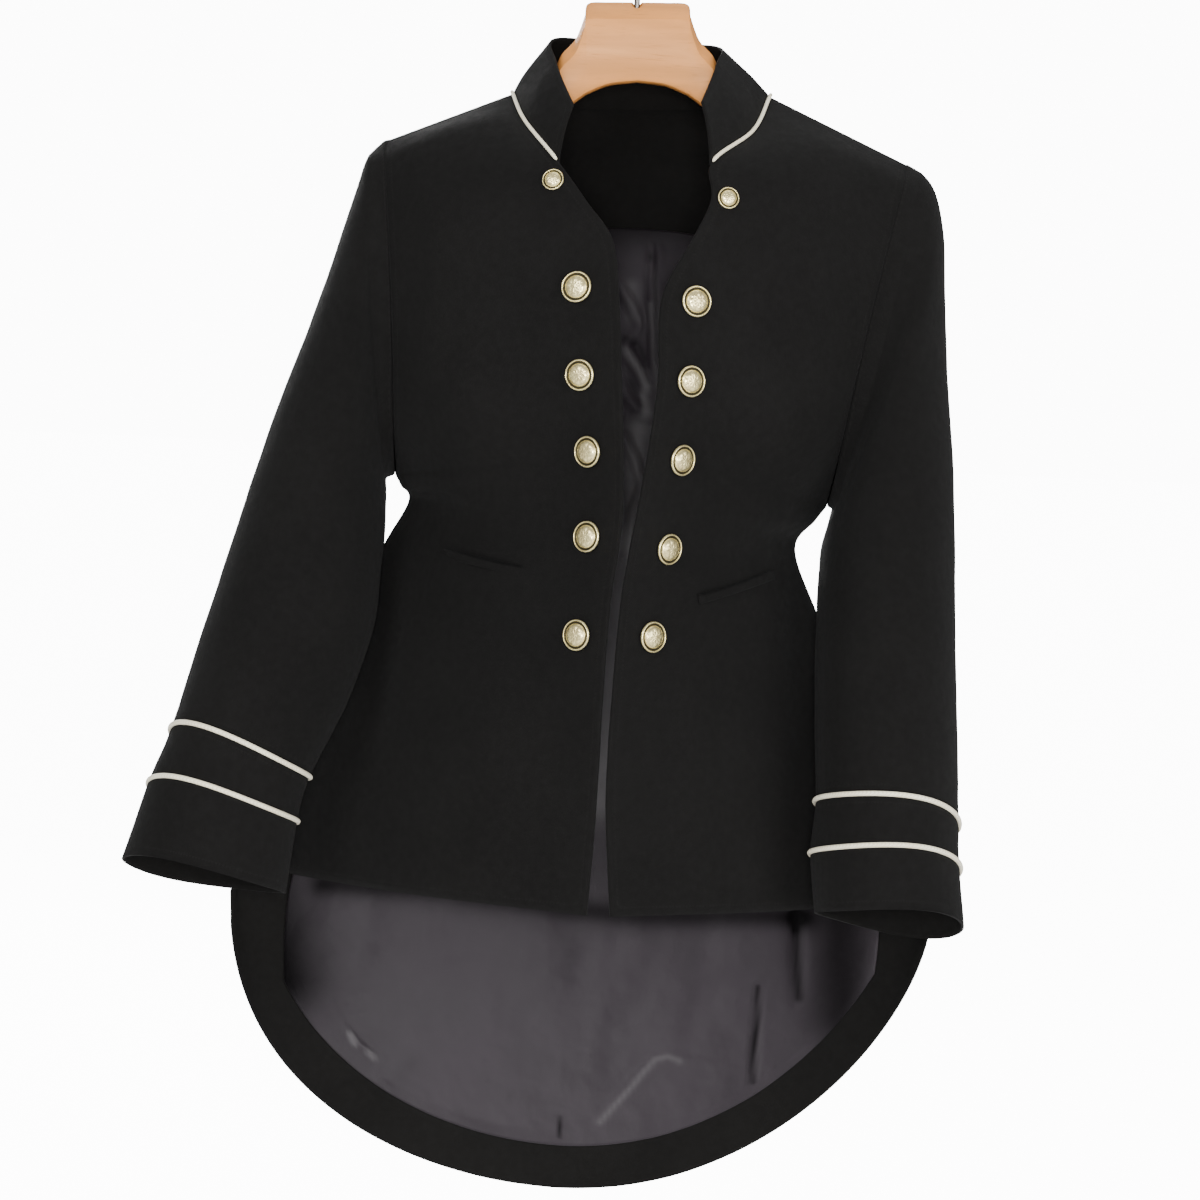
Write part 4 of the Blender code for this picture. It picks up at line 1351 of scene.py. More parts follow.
@dataclass
class Panel:
    """One cut piece of cloth, sewn at its seams and free at its other edges.

    Attributes:
        node: Solid that it stands for. Its cloth has this name with _cloth or _satin after it.
        turn: 1 or -1, which way its grid faces out.
        stuff: What it is made of, the last word of its name.
        held: How it is held up; not used.
        rests_on: What it lies on or hangs from; not used.
        finishes: Outer and inner finish.
        thickness: Of its wall, in millimetres.
        ring: Whether it is a tube.
        folds: Folds put in one by one.
        drapes: Slow unevenness.
        shades: Painted shade and painted highlights.
        seams: Edges sewn to other pieces, of top, bottom, start and end.
        edge_dip: How far the cloth sinks at a seam, in millimetres.
        edge_dip_width: How wide that dip is, in millimetres.
        settle: Distance from a seam over which folds begin, in millimetres.
    """

    node: str
    turn: float
    stuff: str = "cloth"
    held: str = "hung"
    rests_on: tuple[str, ...] = ("hanger",)
    finishes: tuple[Finish, ...] = (SHELL, INSIDE)
    thickness: float = CLOTH
    ring: bool = False
    folds: tuple[Fold, ...] = ()
    drapes: tuple[Drape, ...] = CLOTH_DRAPES
    shades: tuple[Shade, ...] = ()
    seams: tuple[str, ...] = ("top",)
    edge_dip: float = 0.7
    edge_dip_width: float = 2.2
    settle: float = 14.0

    def grid(self, shape: Shape) -> np.ndarray:
        """Outer face of the plain form."""
        raise NotImplementedError

    def edges(self, grid: np.ndarray) -> dict[str, np.ndarray]:
        """Distance of each point from each edge.

        Args:
            grid: Points of the plain form.

        Returns:
            Distances in millimetres, by the name of the edge.
        """
        from_top, from_start = run(grid, 0), run(grid, 1)
        far = {"top": from_top, "bottom": from_top[-1:] - from_top}
        if not self.ring:
            far["start"] = from_start
            far["end"] = from_start[:, -1:] - from_start
        return far

    def seam_distance(self, far: dict[str, np.ndarray]) -> np.ndarray:
        """Distance of each point from the nearest seam to another piece."""
        return np.minimum.reduce([far[edge] for edge in self.seams])

    def heights(self, grid: np.ndarray, outward: np.ndarray, seam: np.ndarray) -> np.ndarray:
        """How far each point stands over the plain form.

        Args:
            grid: Points of the plain form.
            outward: Its normals.
            seam: Distance of each point from the nearest seam.

        Returns:
            Heights in millimetres.
        """
        total = sum((drape.heights(grid) for drape in self.drapes), np.zeros(grid.shape[:2]))
        fore = np.clip(-outward[..., 1] * FACE_TURN + FACE_SIDE, 0, 1)
        shares = {Face.FRONT: fore, Face.BEHIND: 1 - fore, Face.BOTH: np.ones(fore.shape)}
        for fold in self.folds:
            total = total + fold.height(grid[..., 0], grid[..., 2]) * shares[fold.face]
        total = total * np.clip(seam / self.settle, 0, 1) ** SETTLE_POWER
        return total - self.edge_dip * np.exp(-(seam / self.edge_dip_width) ** 2)

    def depth(self, grid: np.ndarray) -> np.ndarray:
        """Painted shade of each point, from -1 to 1; below 0 it is a painted highlight."""
        x, z = grid[..., 0], grid[..., 2]
        return np.clip(sum((shade.value(x, z) for shade in self.shades), np.zeros(x.shape)), -1, 1)

    def build(self, shape: Shape) -> bpy.types.Object:
        """Lay the cloth with its flat pattern and give it its thickness.

        Args:
            shape: Plain forms of the garment.

        Returns:
            The piece.
        """
        name = f"{self.node}_{self.stuff}"
        grid = self.grid(shape)
        outward = surface_normals(grid, self.turn, self.ring)
        far = self.edges(grid)
        heights = self.heights(grid, outward, self.seam_distance(far))
        points = grid + outward * heights[..., None]
        stacked = np.stack(list(far.values()))
        upright = np.isin(np.array(list(far))[stacked.argmin(axis=0)], ("start", "end"))
        span = far["start"] if "start" in far else np.cumsum(np.full(grid.shape[:2], RING_SPAN), axis=1)
        marks = {
            "edge": stacked.min(axis=0) * MM,
            "along": np.where(upright, far["top"], span) * MM,
            # deep: painted shade, and painted highlights below 0
            "deep": self.depth(grid),
        }
        mesh = laid_mesh(name, points, outward, self.ring, marks=marks)
        piece = placed(name, mesh, self.finishes, (self.node,))
        wall = piece.modifiers.new("wall", "SOLIDIFY")
        wall.thickness = self.thickness * MM
        wall.offset = -1.0
        wall.use_even_offset = False
        wall.material_offset = len(self.finishes) - 1
        wall.material_offset_rim = 0
        log.info("%s: %d by %d points", name, *grid.shape[:2])
        return piece


@dataclass
class FrontPanel(Panel):
    """Front of one side, open from the neck to the hem.

    Attributes:
        side: Side of the wearer.
        rows: Points from the shoulder to the hem.
        columns: Points from the edge to the side.
        fade: Distance that a row below the neck seam adds to it, in millimetres.
    """

    side: Side = Side.RIGHT
    seams: tuple[str, ...] = ("top", "end")
    rows: int = 190
    columns: int = 84
    fade: float = 3.0

    def grid(self, shape: Shape) -> np.ndarray:
        """Outer face of the front."""
        rows, columns = np.linspace(0, SIDE_END, self.rows), np.linspace(0, 1, self.columns)
        return shape.front_point(self.side, *np.meshgrid(rows, columns, indexing="ij"))

    def seam_distance(self, far: dict[str, np.ndarray]) -> np.ndarray:
        """Distance from the shoulder, armhole and side seams, and from the collar's seam."""
        seam = super().seam_distance(far)
        end = round(NECK_ROWS / SIDE_END * (self.rows - 1))
        fade = np.maximum(0, np.arange(self.rows) - end)[:, None] * self.fade
        return np.minimum(seam, np.hypot(far["start"], fade))


@dataclass
class BackPanel(Panel):
    """Back with its long rounded tail.

    Attributes:
        rows: Points from the neck to the end of the side seams.
        tail_rows: Points from there to the hem.
        columns: Points across.
    """

    seams: tuple[str, ...] = ("top", "start", "end")
    rows: int = 165
    tail_rows: int = 75
    columns: int = 141

    def marks(self) -> np.ndarray:
        """Row numbers from the top to the hem."""
        tail = np.linspace(SIDE_END, SIDE_END + 1, self.tail_rows + 1)[1:]
        return np.concatenate([np.linspace(0, SIDE_END, self.rows), tail])

    def columns_at(self) -> np.ndarray:
        """Column numbers across the back."""
        return np.linspace(0, BACK_COUNT, self.columns)

    def grid(self, shape: Shape) -> np.ndarray:
        """Outer face of the back."""
        marks = self.marks()
        return np.stack([shape.back_column(c, marks) for c in self.columns_at()], axis=1)

    def hung(self, shape: Shape) -> np.ndarray:
        """Outer face with its folds."""
        grid = self.grid(shape)
        outward = surface_normals(grid, self.turn)
        heights = self.heights(grid, outward, self.seam_distance(self.edges(grid)))
        return grid + outward * heights[..., None]


@dataclass
class LiningPanel(BackPanel):
    """Satin lining inside the back, from the neck facing to the hem facing.

    Attributes:
        under: The back that it is sewn into.
        ease: How far it stands off the back away from its seams, in millimetres.
    """

    under: BackPanel | None = None
    ease: float = 0.8

    def heights(self, grid: np.ndarray, outward: np.ndarray, seam: np.ndarray) -> np.ndarray:
        """How far each point stands off; the lining only ever leaves the back inward."""
        free = super().heights(grid, outward, seam)
        return np.minimum(0.0, free - self.ease * np.clip(seam / self.settle, 0, 1))

    def grid(self, shape: Shape) -> np.ndarray:
        """Face of the lining that lies against the back."""
        back = self.under.hung(shape)
        outer = back - surface_normals(back, -1) * (CLOTH + LINING_GAP)
        columns = self.columns_at()
        inside = (columns >= LINING_INSET) & (columns <= BACK_COUNT - LINING_INSET)
        marks = self.marks()
        upper = outer[(marks >= LINING_TOP) & (marks <= SIDE_END)][:, inside]
        first = self.rows - 1
        tail = []
        for place, column in zip(np.flatnonzero(inside), columns[inside]):
            theta = shape.back_angle(column)
            reach = TAIL["right"] * math.cos(theta)
            drop = (TAIL["side"] - TAIL["low"]) * abs(math.sin(theta))
            slant = max(reach / math.hypot(reach, drop), SLANT_LEAST)
            length = np.linalg.norm(back[-1, place] - back[first, place])
            share = max(HEM_LEAST, 1 - FACING / slant / length)
            steps = first + np.linspace(0, self.tail_rows * share, self.tail_rows + 1)[1:]
            line = [np.interp(steps, np.arange(len(outer)), outer[:, place, axis]) for axis in range(3)]
            tail.append(np.stack(line, axis=1))
        return np.concatenate([upper, np.stack(tail, axis=1)])


@dataclass
class SleevePanel(Panel):
    """Stretch of a sleeve between two sections, sewn round.

    Attributes:
        side: Side of the wearer.
        first: Section that it begins at.
        last: Section that it ends at.
        rows: Rings from first to last.
        around: Points half round it.
        allowance: Rings of the seam allowance inside the armhole.
        inside: How far the allowance reaches, in sections, and how deep it lies, in millimetres.
    """

    side: Side = Side.RIGHT
    ring: bool = True
    first: float = 0.0
    last: float = CUFF_SEAM
    rows: int = 130
    around: int = 43
    allowance: int = 3
    inside: Pair = (-0.3, 2.4)

    def grid(self, shape: Shape) -> np.ndarray:
        """Outer face of the stretch, with the allowance that a sleeve has inside its armhole."""
        sections = np.linspace(self.first, self.last, self.rows)
        if self.first == 0:
            inside = np.linspace(self.inside[0], 0, self.allowance, endpoint=False)
            sections = np.concatenate([inside, sections])
        return shape.sleeve_grid(self.side, sections, np.linspace(0, UNDERARM, self.around))

    def heights(self, grid: np.ndarray, outward: np.ndarray, seam: np.ndarray) -> np.ndarray:
        """How far each point stands over the plain form; the allowance lies under the body."""
        free = super().heights(grid, outward, seam)
        if self.first == 0:
            under = np.maximum(0, 1 - np.arange(len(grid)) / self.allowance)
            free = free - self.inside[1] * under[:, None]
        return free


@dataclass
class CollarPanel(Panel):
    """Stand collar round the neck.

    Attributes:
        columns: Points along it.
        levels: Points from its seam to its upper edge.
        allowance: How far its seam allowance reaches below its seam, in millimetres.
    """

    columns: int = 121
    levels: int = 13
    allowance: float = 2.5

    def grid(self, shape: Shape) -> np.ndarray:
        """Outer face of the collar, with the allowance that it has below its seam."""
        stand = shape.collar_grid(np.linspace(0, NECK_STEPS, self.columns), self.levels)
        below = stand[0] - unit(stand[1] - stand[0]) * self.allowance
        return np.concatenate([below[None], stand])


@dataclass
class WeltPanel(Panel):
    """Pocket welt, a folded strip with the slit of the pocket above it, painted as a dark shade along its
    upper edge.

    Attributes:
        side: Side of the wearer.
        width: Width of the strip, in millimetres.
        stand: How far it stands off the front, in millimetres.
        sunk: How far its edges lie under the front's plain form, in millimetres.
        arch: Part of a half wave that its back goes through from its lower to its upper edge.
        close: How fast its ends close.
        marks: Places along it at which it is laid on the front.
        columns: Points along it.
        levels: Points across it.
    """

    side: Side = Side.RIGHT
    thickness: float = 1.0
    width: float = 7.0
    stand: float = 0.9
    sunk: float = 0.1
    arch: float = 0.62
    close: float = 12.0
    marks: int = 5
    columns: int = 61
    levels: int = 9
    drapes: tuple[Drape, ...] = ()
    finishes: tuple[Finish, ...] = (SHELL,)
    edge_dip: float = 0.0

    def grid(self, shape: Shape) -> np.ndarray:
        """Outer face of the strip, rounded over from its lower to its upper edge."""
        ends = np.array(POCKETS[self.side], float)
        start, end = ends[:2], ends[2:]
        along = unit(end - start)
        across = np.array((-along[1], along[0]))
        across = across if across[1] > 0 else -across
        marks = np.linspace(0, 1, self.marks)
        rims = []
        for r in (-0.5, 0.5):
            spots = [start + (end - start) * s + across * self.width * r for s in marks]
            rims.append(np.array([shape.place_of(self.side, x, z) for x, z in spots]))
        r, s = self.places()
        low, high = (spline(rim, s * (self.marks - 1)) for rim in rims)
        place = low + (high - low) * r[..., None]
        point, normal = shape.laid_on_front(self.side, place[..., 0], place[..., 1])
        arch = np.sin(math.pi * r * self.arch)
        close = np.minimum(1.0, np.minimum(s, 1 - s) * self.close)
        return point + normal * (self.stand * arch * close - self.sunk)[..., None]

    def places(self) -> tuple[np.ndarray, np.ndarray]:
        """Shares of the way across and along the strip, of each of its points."""
        return np.meshgrid(np.linspace(0, 1, self.levels), np.linspace(0, 1, self.columns), indexing="ij")

    def depth(self, grid: np.ndarray) -> np.ndarray:
        """Painted shade of each point: the pocket's mouth runs along the upper edge as a dark line."""
        r, s = self.places()
        level, bow, rise = MOUTH_LINE
        line = level - bow * s * (1 - s) + rise * s
        sharp, ends, least = MOUTH_EDGE
        return np.clip((r - line) * sharp, 0, 1) * np.clip(np.minimum(s, 1 - s) * ends + least, 0, 1)


@dataclass
class Tube:
    """Round cord or wire along a path.

    Attributes:
        name: Name of the piece.
        nodes: Solids that it stands for.
        finish: Its finish.
        radius: In millimetres.
        sides: Points round it.
        shoulder: How much fuller than half-way its last point but one is at an open end.
    """

    name: str
    nodes: tuple[str, ...]
    finish: Finish
    radius: float
    sides: int = 14
    shoulder: float = 0.12

    def build(self, path: np.ndarray, outward: np.ndarray, closed: bool,
              ends: float = 0.5) -> bpy.types.Object:
        """Make the cord.

        Args:
            path: Points of its middle line, in millimetres.
            outward: Directions square to the line, one at each point.
            closed: Whether it meets itself.
            ends: Radius at its open ends, as a share.

        Returns:
            The object.
        """
        ahead = np.roll(path, -1, axis=0) - np.roll(path, 1, axis=0) if closed else np.gradient(path, axis=0)
        ahead = unit(ahead)
        out = unit(outward - ahead * np.sum(outward * ahead, axis=1)[:, None])
        beside = np.cross(ahead, out)
        radius = np.full(len(path), self.radius)
        if not closed:
            for place, share in ((0, ends), (1, (1 + ends) / 2 + self.shoulder)):
                radius[place] *= share
                radius[-1 - place] *= share
        angles = np.linspace(0, 2 * math.pi, self.sides, endpoint=False)
        round_ = out[:, None] * np.cos(angles)[:, None] + beside[:, None] * np.sin(angles)[:, None]
        points = path[:, None] + round_ * radius[:, None, None]
        mesh = laid_mesh(self.name, points, round_, ring=True, closed=closed)
        if not closed:
            self.cap(mesh)
        log.info("%s: %d points long", self.name, len(path))
        return placed(self.name, mesh, (self.finish,), self.nodes)

    @staticmethod
    def cap(mesh: bpy.types.Mesh) -> None:
        """Close the two open ends."""
        form = bmesh.new()
        form.from_mesh(mesh)
        bmesh.ops.holes_fill(form, edges=[e for e in form.edges if e.is_boundary], sides=0)
        form.to_mesh(mesh)
        form.free()


@dataclass(frozen=True)
class Button:
    """Shank button with a domed face in low relief, a groove and a rolled rim.

    Attributes:
        outline: Turned outline from the crown down to the shank's foot. This and what follows is in
            shares of the radius.
        steps: Points round it.
        petals: Number of petals in its rosette.
        relief: Height of the rosette.
        knob: Radius of the rosette's knob.
        inner: Radius of its inner petals.
        tips: Radius that its outer petals reach.
        face: Radius of the domed face that they lie on.
        softness: Powers that round its outer petals, its inner petals and their length.
        front: Height above which a point belongs to the button's front.
        groove: Inner and outer radius of the groove, which gets full painted shade.
        hollow: How dark the painted shade in the hollows of the rosette is.
        beads: Number of beads on the rim, and their height.
        rim: Inner and outer radius of the ring of beads.
        merge: Distance below which two points are one.
        sunk: How far its foot sinks into the cloth, in millimetres.
    """

    outline: tuple[Pair, ...] = (
        (0, 0.53), (0.10, 0.528), (0.20, 0.522), (0.30, 0.511), (0.40, 0.495), (0.50, 0.472),
        (0.58, 0.445), (0.64, 0.412), (0.69, 0.368), (0.72, 0.325), (0.745, 0.275), (0.765, 0.235),
        (0.79, 0.215), (0.82, 0.210), (0.85, 0.225), (0.87, 0.27), (0.89, 0.325), (0.91, 0.345),
        (0.935, 0.348), (0.965, 0.33), (0.985, 0.295), (1, 0.26), (0.985, 0.20), (0.94, 0.15),
        (0.25, 0.14), (0.25, 0), (0, 0),
    )
    steps: int = 72
    petals: int = 8
    relief: float = 0.04
    knob: float = 0.12
    inner: float = 0.32
    tips: float = 0.64
    face: float = 0.65
    softness: Three = (0.7, 0.8, 0.6)
    front: float = 0.205
    groove: Pair = (0.73, 0.88)
    hollow: float = 0.6
    beads: tuple[int, float] = (36, 0.012)
    rim: Pair = (0.89, 0.95)
    merge: float = 1e-4
    sunk: float = 0.15

    def rosette(self, reach: float, angle: float) -> float:
        """Height of the relief.

        Args:
            reach: Distance from the middle, as a share of the radius.
            angle: Angle round the middle.

        Returns:
            The height, from 0 to 1.
        """
        if reach < self.knob:
            return 1.0
        if reach > self.tips:
            return 0.0
        outer, inner, length = self.softness
        turn = angle * self.petals / 2
        tip = math.sin(math.pi * (reach - self.knob) / (self.tips - self.knob)) ** length
        return tip * (abs(math.sin(turn)) ** inner if reach < self.inner else abs(math.cos(turn)) ** outer)

    def build(self, name: str, point: np.ndarray, normal: np.ndarray, radius: float) -> bpy.types.Object:
        """Turn the button, raise its relief and seat it on the cloth.

        Args:
            name: Name of the solid that it stands for.
            point: Where it sits on the plain form, in millimetres.
            normal: Direction that it faces.
            radius: In millimetres.

        Returns:
            The button.
        """
        form = bmesh.new()
        low = form.verts.layers.float.new("hollow")
        previous = None
        for reach, height in self.outline:
            vert = form.verts.new((reach, 0, height))
            if previous:
                form.edges.new((previous, vert))
            previous = vert
        bmesh.ops.spin(form, geom=form.verts[:] + form.edges[:], cent=(0, 0, 0), axis=(0, 0, 1),
                       angle=2 * math.pi, steps=self.steps, use_merge=True)
        bmesh.ops.remove_doubles(form, verts=form.verts, dist=self.merge)
        bmesh.ops.recalc_face_normals(form, faces=form.faces)
        for vert in form.verts:
            reach = math.hypot(vert.co.x, vert.co.y)
            angle = math.atan2(vert.co.y, vert.co.x)
            if vert.co.z > self.front:
                raised = self.rosette(reach, angle)
                # The hollow mark is painted shade: full in the groove, part in the rosette's hollows
                grooved = float(self.groove[0] < reach < self.groove[1])
                vert[low] = self.hollow * (1 - raised) if reach < self.face else grooved
                vert.co.z += self.relief * raised * (reach < self.face)
                beads, height = self.beads
                bead = 0.5 + 0.5 * math.cos(angle * beads)
                vert.co.z += height * bead * (self.rim[0] < reach < self.rim[1])
        for face in form.faces:
            face.smooth = True
        turn = Vector(normal).to_track_quat("Z", "Y").to_matrix().to_4x4()
        seat = Vector(point - normal * self.sunk) * MM
        place = Matrix.Translation(seat) @ turn @ Matrix.Scale(radius * MM, 4)
        bmesh.ops.transform(form, matrix=place, verts=form.verts)
        return placed(name + "_relief", finished(name, form), (GOLD,), (name,))


@dataclass
class Hanger:
    """Wooden hanger with rounded arms, a shaped neck and the bore for its hook.

    Attributes:
        x: Place of its middle, in millimetres.
        tilt: How far it leans, in degrees.
        edge: Rounding of its lower edges, in millimetres.
        crown: Rounding of its upper edges, in millimetres.
        bore: Radius and depth of the hook's hole, in millimetres.
        bore_sides: Sides of that hole.
        stem: Distance from its middle to where its neck ends and its arms begin, in millimetres.
        stem_fade: Over which its back edge rises there, in millimetres.
        fall: How much lower the neck's back edge is, in millimetres.
        bevel: Shares of a lower and of an upper rounding at which its middle point lies, in and down.
        top: Share of the upper rounding that the top is in.
        steps: Sections from one row of the table to the next.
        ease: Width of its eased edges, in millimetres, and their number of steps.
        angles: Edges that are eased, and those that stay sharp, above so many degrees.
    """

    x: float = 0.5
    tilt: float = 2.0
    edge: float = 4.0
    crown: float = 10.0
    bore: Pair = (3.8, 14.0)
    bore_sides: int = 32
    stem: float = 38.0
    stem_fade: float = 4.0
    fall: float = 2.5
    bevel: tuple[float, float, float, float] = (0.25, 0.3, 0.3, 0.62)
    top: float = 0.9
    steps: int = 9
    ease: tuple[float, int] = (1.2, 3)
    angles: Pair = (32.0, 38.0)

    def section(self, distance: float, top: float, under: float, half: float) -> list[Pair]:
        """Outline across the hanger.

        Args:
            distance: From the hanger's middle.
            top: Height of its top.
            under: Height of its underside.
            half: Half of its thickness.

        Returns:
            Pairs y, z.
        """
        edge, crown = (min(size, (top - under) / 3) for size in (self.edge, self.crown))
        fall = self.fall * min(1.0, max(0.0, (self.stem - distance) / self.stem_fade))
        low_in, low_up, high_in, high_down = self.bevel
        sides = []
        for drop in (0.0, fall):
            sides.append([
                (half - edge, under), (half - low_in * edge, under + low_up * edge),
                (half, under + edge), (half, top - crown - drop),
                (half - high_in * crown, top - high_down * crown - drop),
                (half - self.top * crown, top - drop),
            ])
        fore, aft = sides
        return [(-aft[0][0], aft[0][1]), *fore, *((-y, z) for y, z in reversed(aft[1:]))]

    def build(self) -> bpy.types.Object:
        """Loft it from tip to tip, bore it and round its edges."""
        lean = math.radians(self.tilt)
        half_marks = np.linspace(0, len(HANGER) - 1, (len(HANGER) - 1) * self.steps + 1)
        half_rows = spline(HANGER, half_marks)
        rows = [(-row[0], *row) for row in half_rows[:0:-1]] + [(row[0], *row) for row in half_rows]
        points = []
        for place, distance, top, under, half in rows:
            ring = []
            for y, z in self.section(distance, top, under, half):
                x = self.x + place * math.cos(lean) - (z - HANGER[0][1]) * math.sin(lean)
                ring.append((x, y, z + place * math.sin(lean)))
            points.append(ring)
        grid = np.array(points)
        outward = unit(grid - grid.mean(axis=1, keepdims=True))
        mesh = laid_mesh("hanger_wood", grid, outward, ring=True)
        Tube.cap(mesh)
        mesh = self.bored(mesh)
        hanger = placed("hanger_wood", mesh, (WOOD,), ("hanger",))
        log.info("hanger: %d sections", len(rows))
        return hanger

    def bored(self, mesh: bpy.types.Mesh) -> bpy.types.Mesh:
        """The hanger with the hook's hole cut into its top."""
        solid = linked("hanger_blank", mesh)
        drill = bmesh.new()
        radius, depth = self.bore
        bmesh.ops.create_cone(drill, cap_ends=True, segments=self.bore_sides,
                              radius1=radius * MM, radius2=radius * MM,
                              depth=2 * depth * MM, matrix=Matrix.Translation((0, 0, HANGER[0][1] * MM)))
        tool = linked("drill", finished("drill", drill))
        cut = solid.modifiers.new("bore", "BOOLEAN")
        cut.operation = "DIFFERENCE"
        cut.object = tool
        round_ = solid.modifiers.new("round", "BEVEL")
        width, round_.segments = self.ease
        round_.width = width * MM
        round_.limit_method = "ANGLE"
        eased, sharp = (math.radians(angle) for angle in self.angles)
        round_.angle_limit = eased
        bpy.context.view_layer.update()
        graph = bpy.context.evaluated_depsgraph_get()
        made = bpy.data.meshes.new_from_object(solid.evaluated_get(graph))
        for thing in (solid, tool):
            bpy.data.objects.remove(thing)
        made.shade_smooth()
        made.set_sharp_from_angle(angle=sharp)
        return made


@dataclass
class Hook:
    """Plated wire hook from its bore over the rail.

    Attributes:
        rod: Radius of its wire, in millimetres.
        bow: Inner radius of its bow, in millimetres.
        stem: Points x, z of its middle line from its foot to where the bow begins.
        arc: First angle of the bow, the angle that it ends before, and its step, in degrees.
        steps: Points from one bend to the next.
        sides: Points round the wire.
    """

    rod: float = 2.0
    bow: float = 20.0
    stem: tuple[Pair, ...] = (
        (0, -74.7), (0, -69.7), (0, -56), (0.6, -51), (3, -46.2), (6.8, -42.2),
    )
    arc: tuple[int, int, int] = (-60, 216, 12)
    steps: int = 4
    sides: int = 20

    def build(self) -> bpy.types.Object:
        """Bend the wire."""
        line = self.bow + self.rod
        bends = [(x, 0, z) for x, z in self.stem]
        for angle in range(*self.arc):
            a = math.radians(angle)
            bends.append((line * math.cos(a), 0, -self.bow + line * math.sin(a)))
        path = spline(bends, np.linspace(0, len(bends) - 1, (len(bends) - 1) * self.steps + 1))
        outward = np.tile(np.array((0.0, -1.0, 0.0)), (len(path), 1))
        return Tube("hook_wire", ("hook",), STEEL, self.rod, self.sides).build(path, outward, closed=False)


@dataclass
class Garment:
    """The blazer: its panels, piping and buttons.

    Attributes:
        shape: Plain forms of its pieces.
        cord: Radius of the collar's piping, in millimetres.
        cord_seat: How far that piping's middle stands off the seam, as a share of its radius.
        cord_lift: How far up it is turned.
        cuff_seat: How far the middle of a cuff's piping stands off the cloth, in millimetres.
        cuff_step: Part of a section on each side of that piping from which its slope is taken.
        points: Points along the collar's piping and half round a cuff's.
    """

    shape: Shape
    cord: float = 1.35
    cord_seat: float = 0.8
    cord_lift: float = 0.35
    cuff_seat: float = 0.4
    cuff_step: float = 0.05
    points: tuple[int, int] = (180, 80)

    def fronts(self) -> None:
        """Both fronts."""
        FrontPanel("front_right", -1, side=Side.RIGHT, folds=FRONT_RIGHT_FOLDS).build(self.shape)
        FrontPanel("front_left", 1, side=Side.LEFT, folds=FRONT_LEFT_FOLDS,
                   drapes=LEFT_DRAPES).build(self.shape)

    def back(self) -> None:
        """The back and its lining."""
        back = BackPanel("back", -1, folds=BACK_FOLDS)
        back.build(self.shape)
        fine = replace(back, columns=LINING_COLUMNS, tail_rows=LINING_TAIL_ROWS)
        LiningPanel("lining", -1, stuff="satin", finishes=(SATIN,), thickness=LINING, folds=LINING_FOLDS,
                    drapes=LINING_DRAPES, shades=LINING_SHADES, edge_dip=0.0, settle=10.0, under=fine,
                    columns=fine.columns, tail_rows=fine.tail_rows,
                    seams=("top", "start", "end", "bottom")).build(self.shape)

    def sleeves(self) -> None:
        """Both sleeves and both cuffs, with their piping."""
        for side, turn in ((Side.RIGHT, 1), (Side.LEFT, -1)):
            SleevePanel(f"sleeve_{side.value}", turn, side=side, seams=("top", "bottom"),
                        folds=SLEEVE_FOLDS[side]).build(self.shape)
            SleevePanel(f"cuff_{side.value}", turn, side=side, first=CUFF_SEAM, last=CUFF_END, rows=30,
                        folds=CUFF_FOLDS).build(self.shape)
            for level, section in (("upper", CUFF_SEAM), ("lower", (CUFF_SEAM + CUFF_END) / 2)):
                self.cuff_piping(side, turn, level, section)

    def cuff_piping(self, side: Side, turn: float, level: str, section: float) -> None:
        """One cord round a cuff.

        Args:
            side: Side of the wearer.
            turn: 1 or -1, which way the sleeve's grid faces out.
            level: upper or lower.
            section: Section of the sleeve that it lies on.
        """
        around = np.linspace(0, UNDERARM, self.points[1])
        sections = section + self.cuff_step * np.array((-1, 0, 1))
        near = self.shape.sleeve_grid(side, sections, around)
        outward = surface_normals(near, turn, ring=True)[1]
        path = near[1] + outward * self.cuff_seat
        name = f"piping_{side.value}_{level}"
        Tube(name + "_cord", (name,), PIPE, PIPING).build(path, outward, closed=True)

    def collar(self) -> None:
        """The stand collar and the piping along its seam."""
        CollarPanel("collar", 1).build(self.shape)
        steps = np.linspace(0, NECK_STEPS, self.points[0])
        rise = self.shape.collar_grid(steps, COLLAR_LEVELS)
        outward = unit(surface_normals(rise, 1)[0] + np.array((0, 0, self.cord_lift)))
        path = rise[0] + outward * self.cord * self.cord_seat
        Tube("piping_collar_cord", ("piping_collar",), PIPE, self.cord).build(path, outward, False)

    def buttons(self) -> None:
        """All the buttons, each at the slant of the cloth under it."""
        maker = Button()
        for side, places in BUTTONS.items():
            for number, (x, z, radius) in enumerate(places):
                u, t = self.shape.place_of(side, x, z)
                point, normal = self.shape.laid_on_front(side, np.array(u), np.array(t))
                maker.build(f"button_{side.value}_{number}", point, normal, radius)
        log.info("buttons: done")

    def pockets(self) -> None:
        """The pocket welts."""
        for side in Side:
            WeltPanel(f"welt_{side.value}", 1, side=side, held="laid",
                      rests_on=(f"front_{side.value}_cloth",)).build(self.shape)

    def build(self) -> None:
        """Make every piece of the garment."""
        self.fronts()
        self.back()
        self.sleeves()
        self.collar()
        self.pockets()
        self.buttons()


# Lamps: name, place, size in metres and power in watts
LAMPS = (
    ("key", (-1.4, -2.3, 0.8), 1.1, 34),
    ("fill", (1.9, -2.1, 0.1), 1.5, 46),
    ("front", (0.03, -2.7, -0.2), 0.5, 60),
    ("top", (0.2, 0.3, 1.8), 1.6, 14),
    ("rear", (-0.9, 2.5, 0.5), 1.4, 60),
)


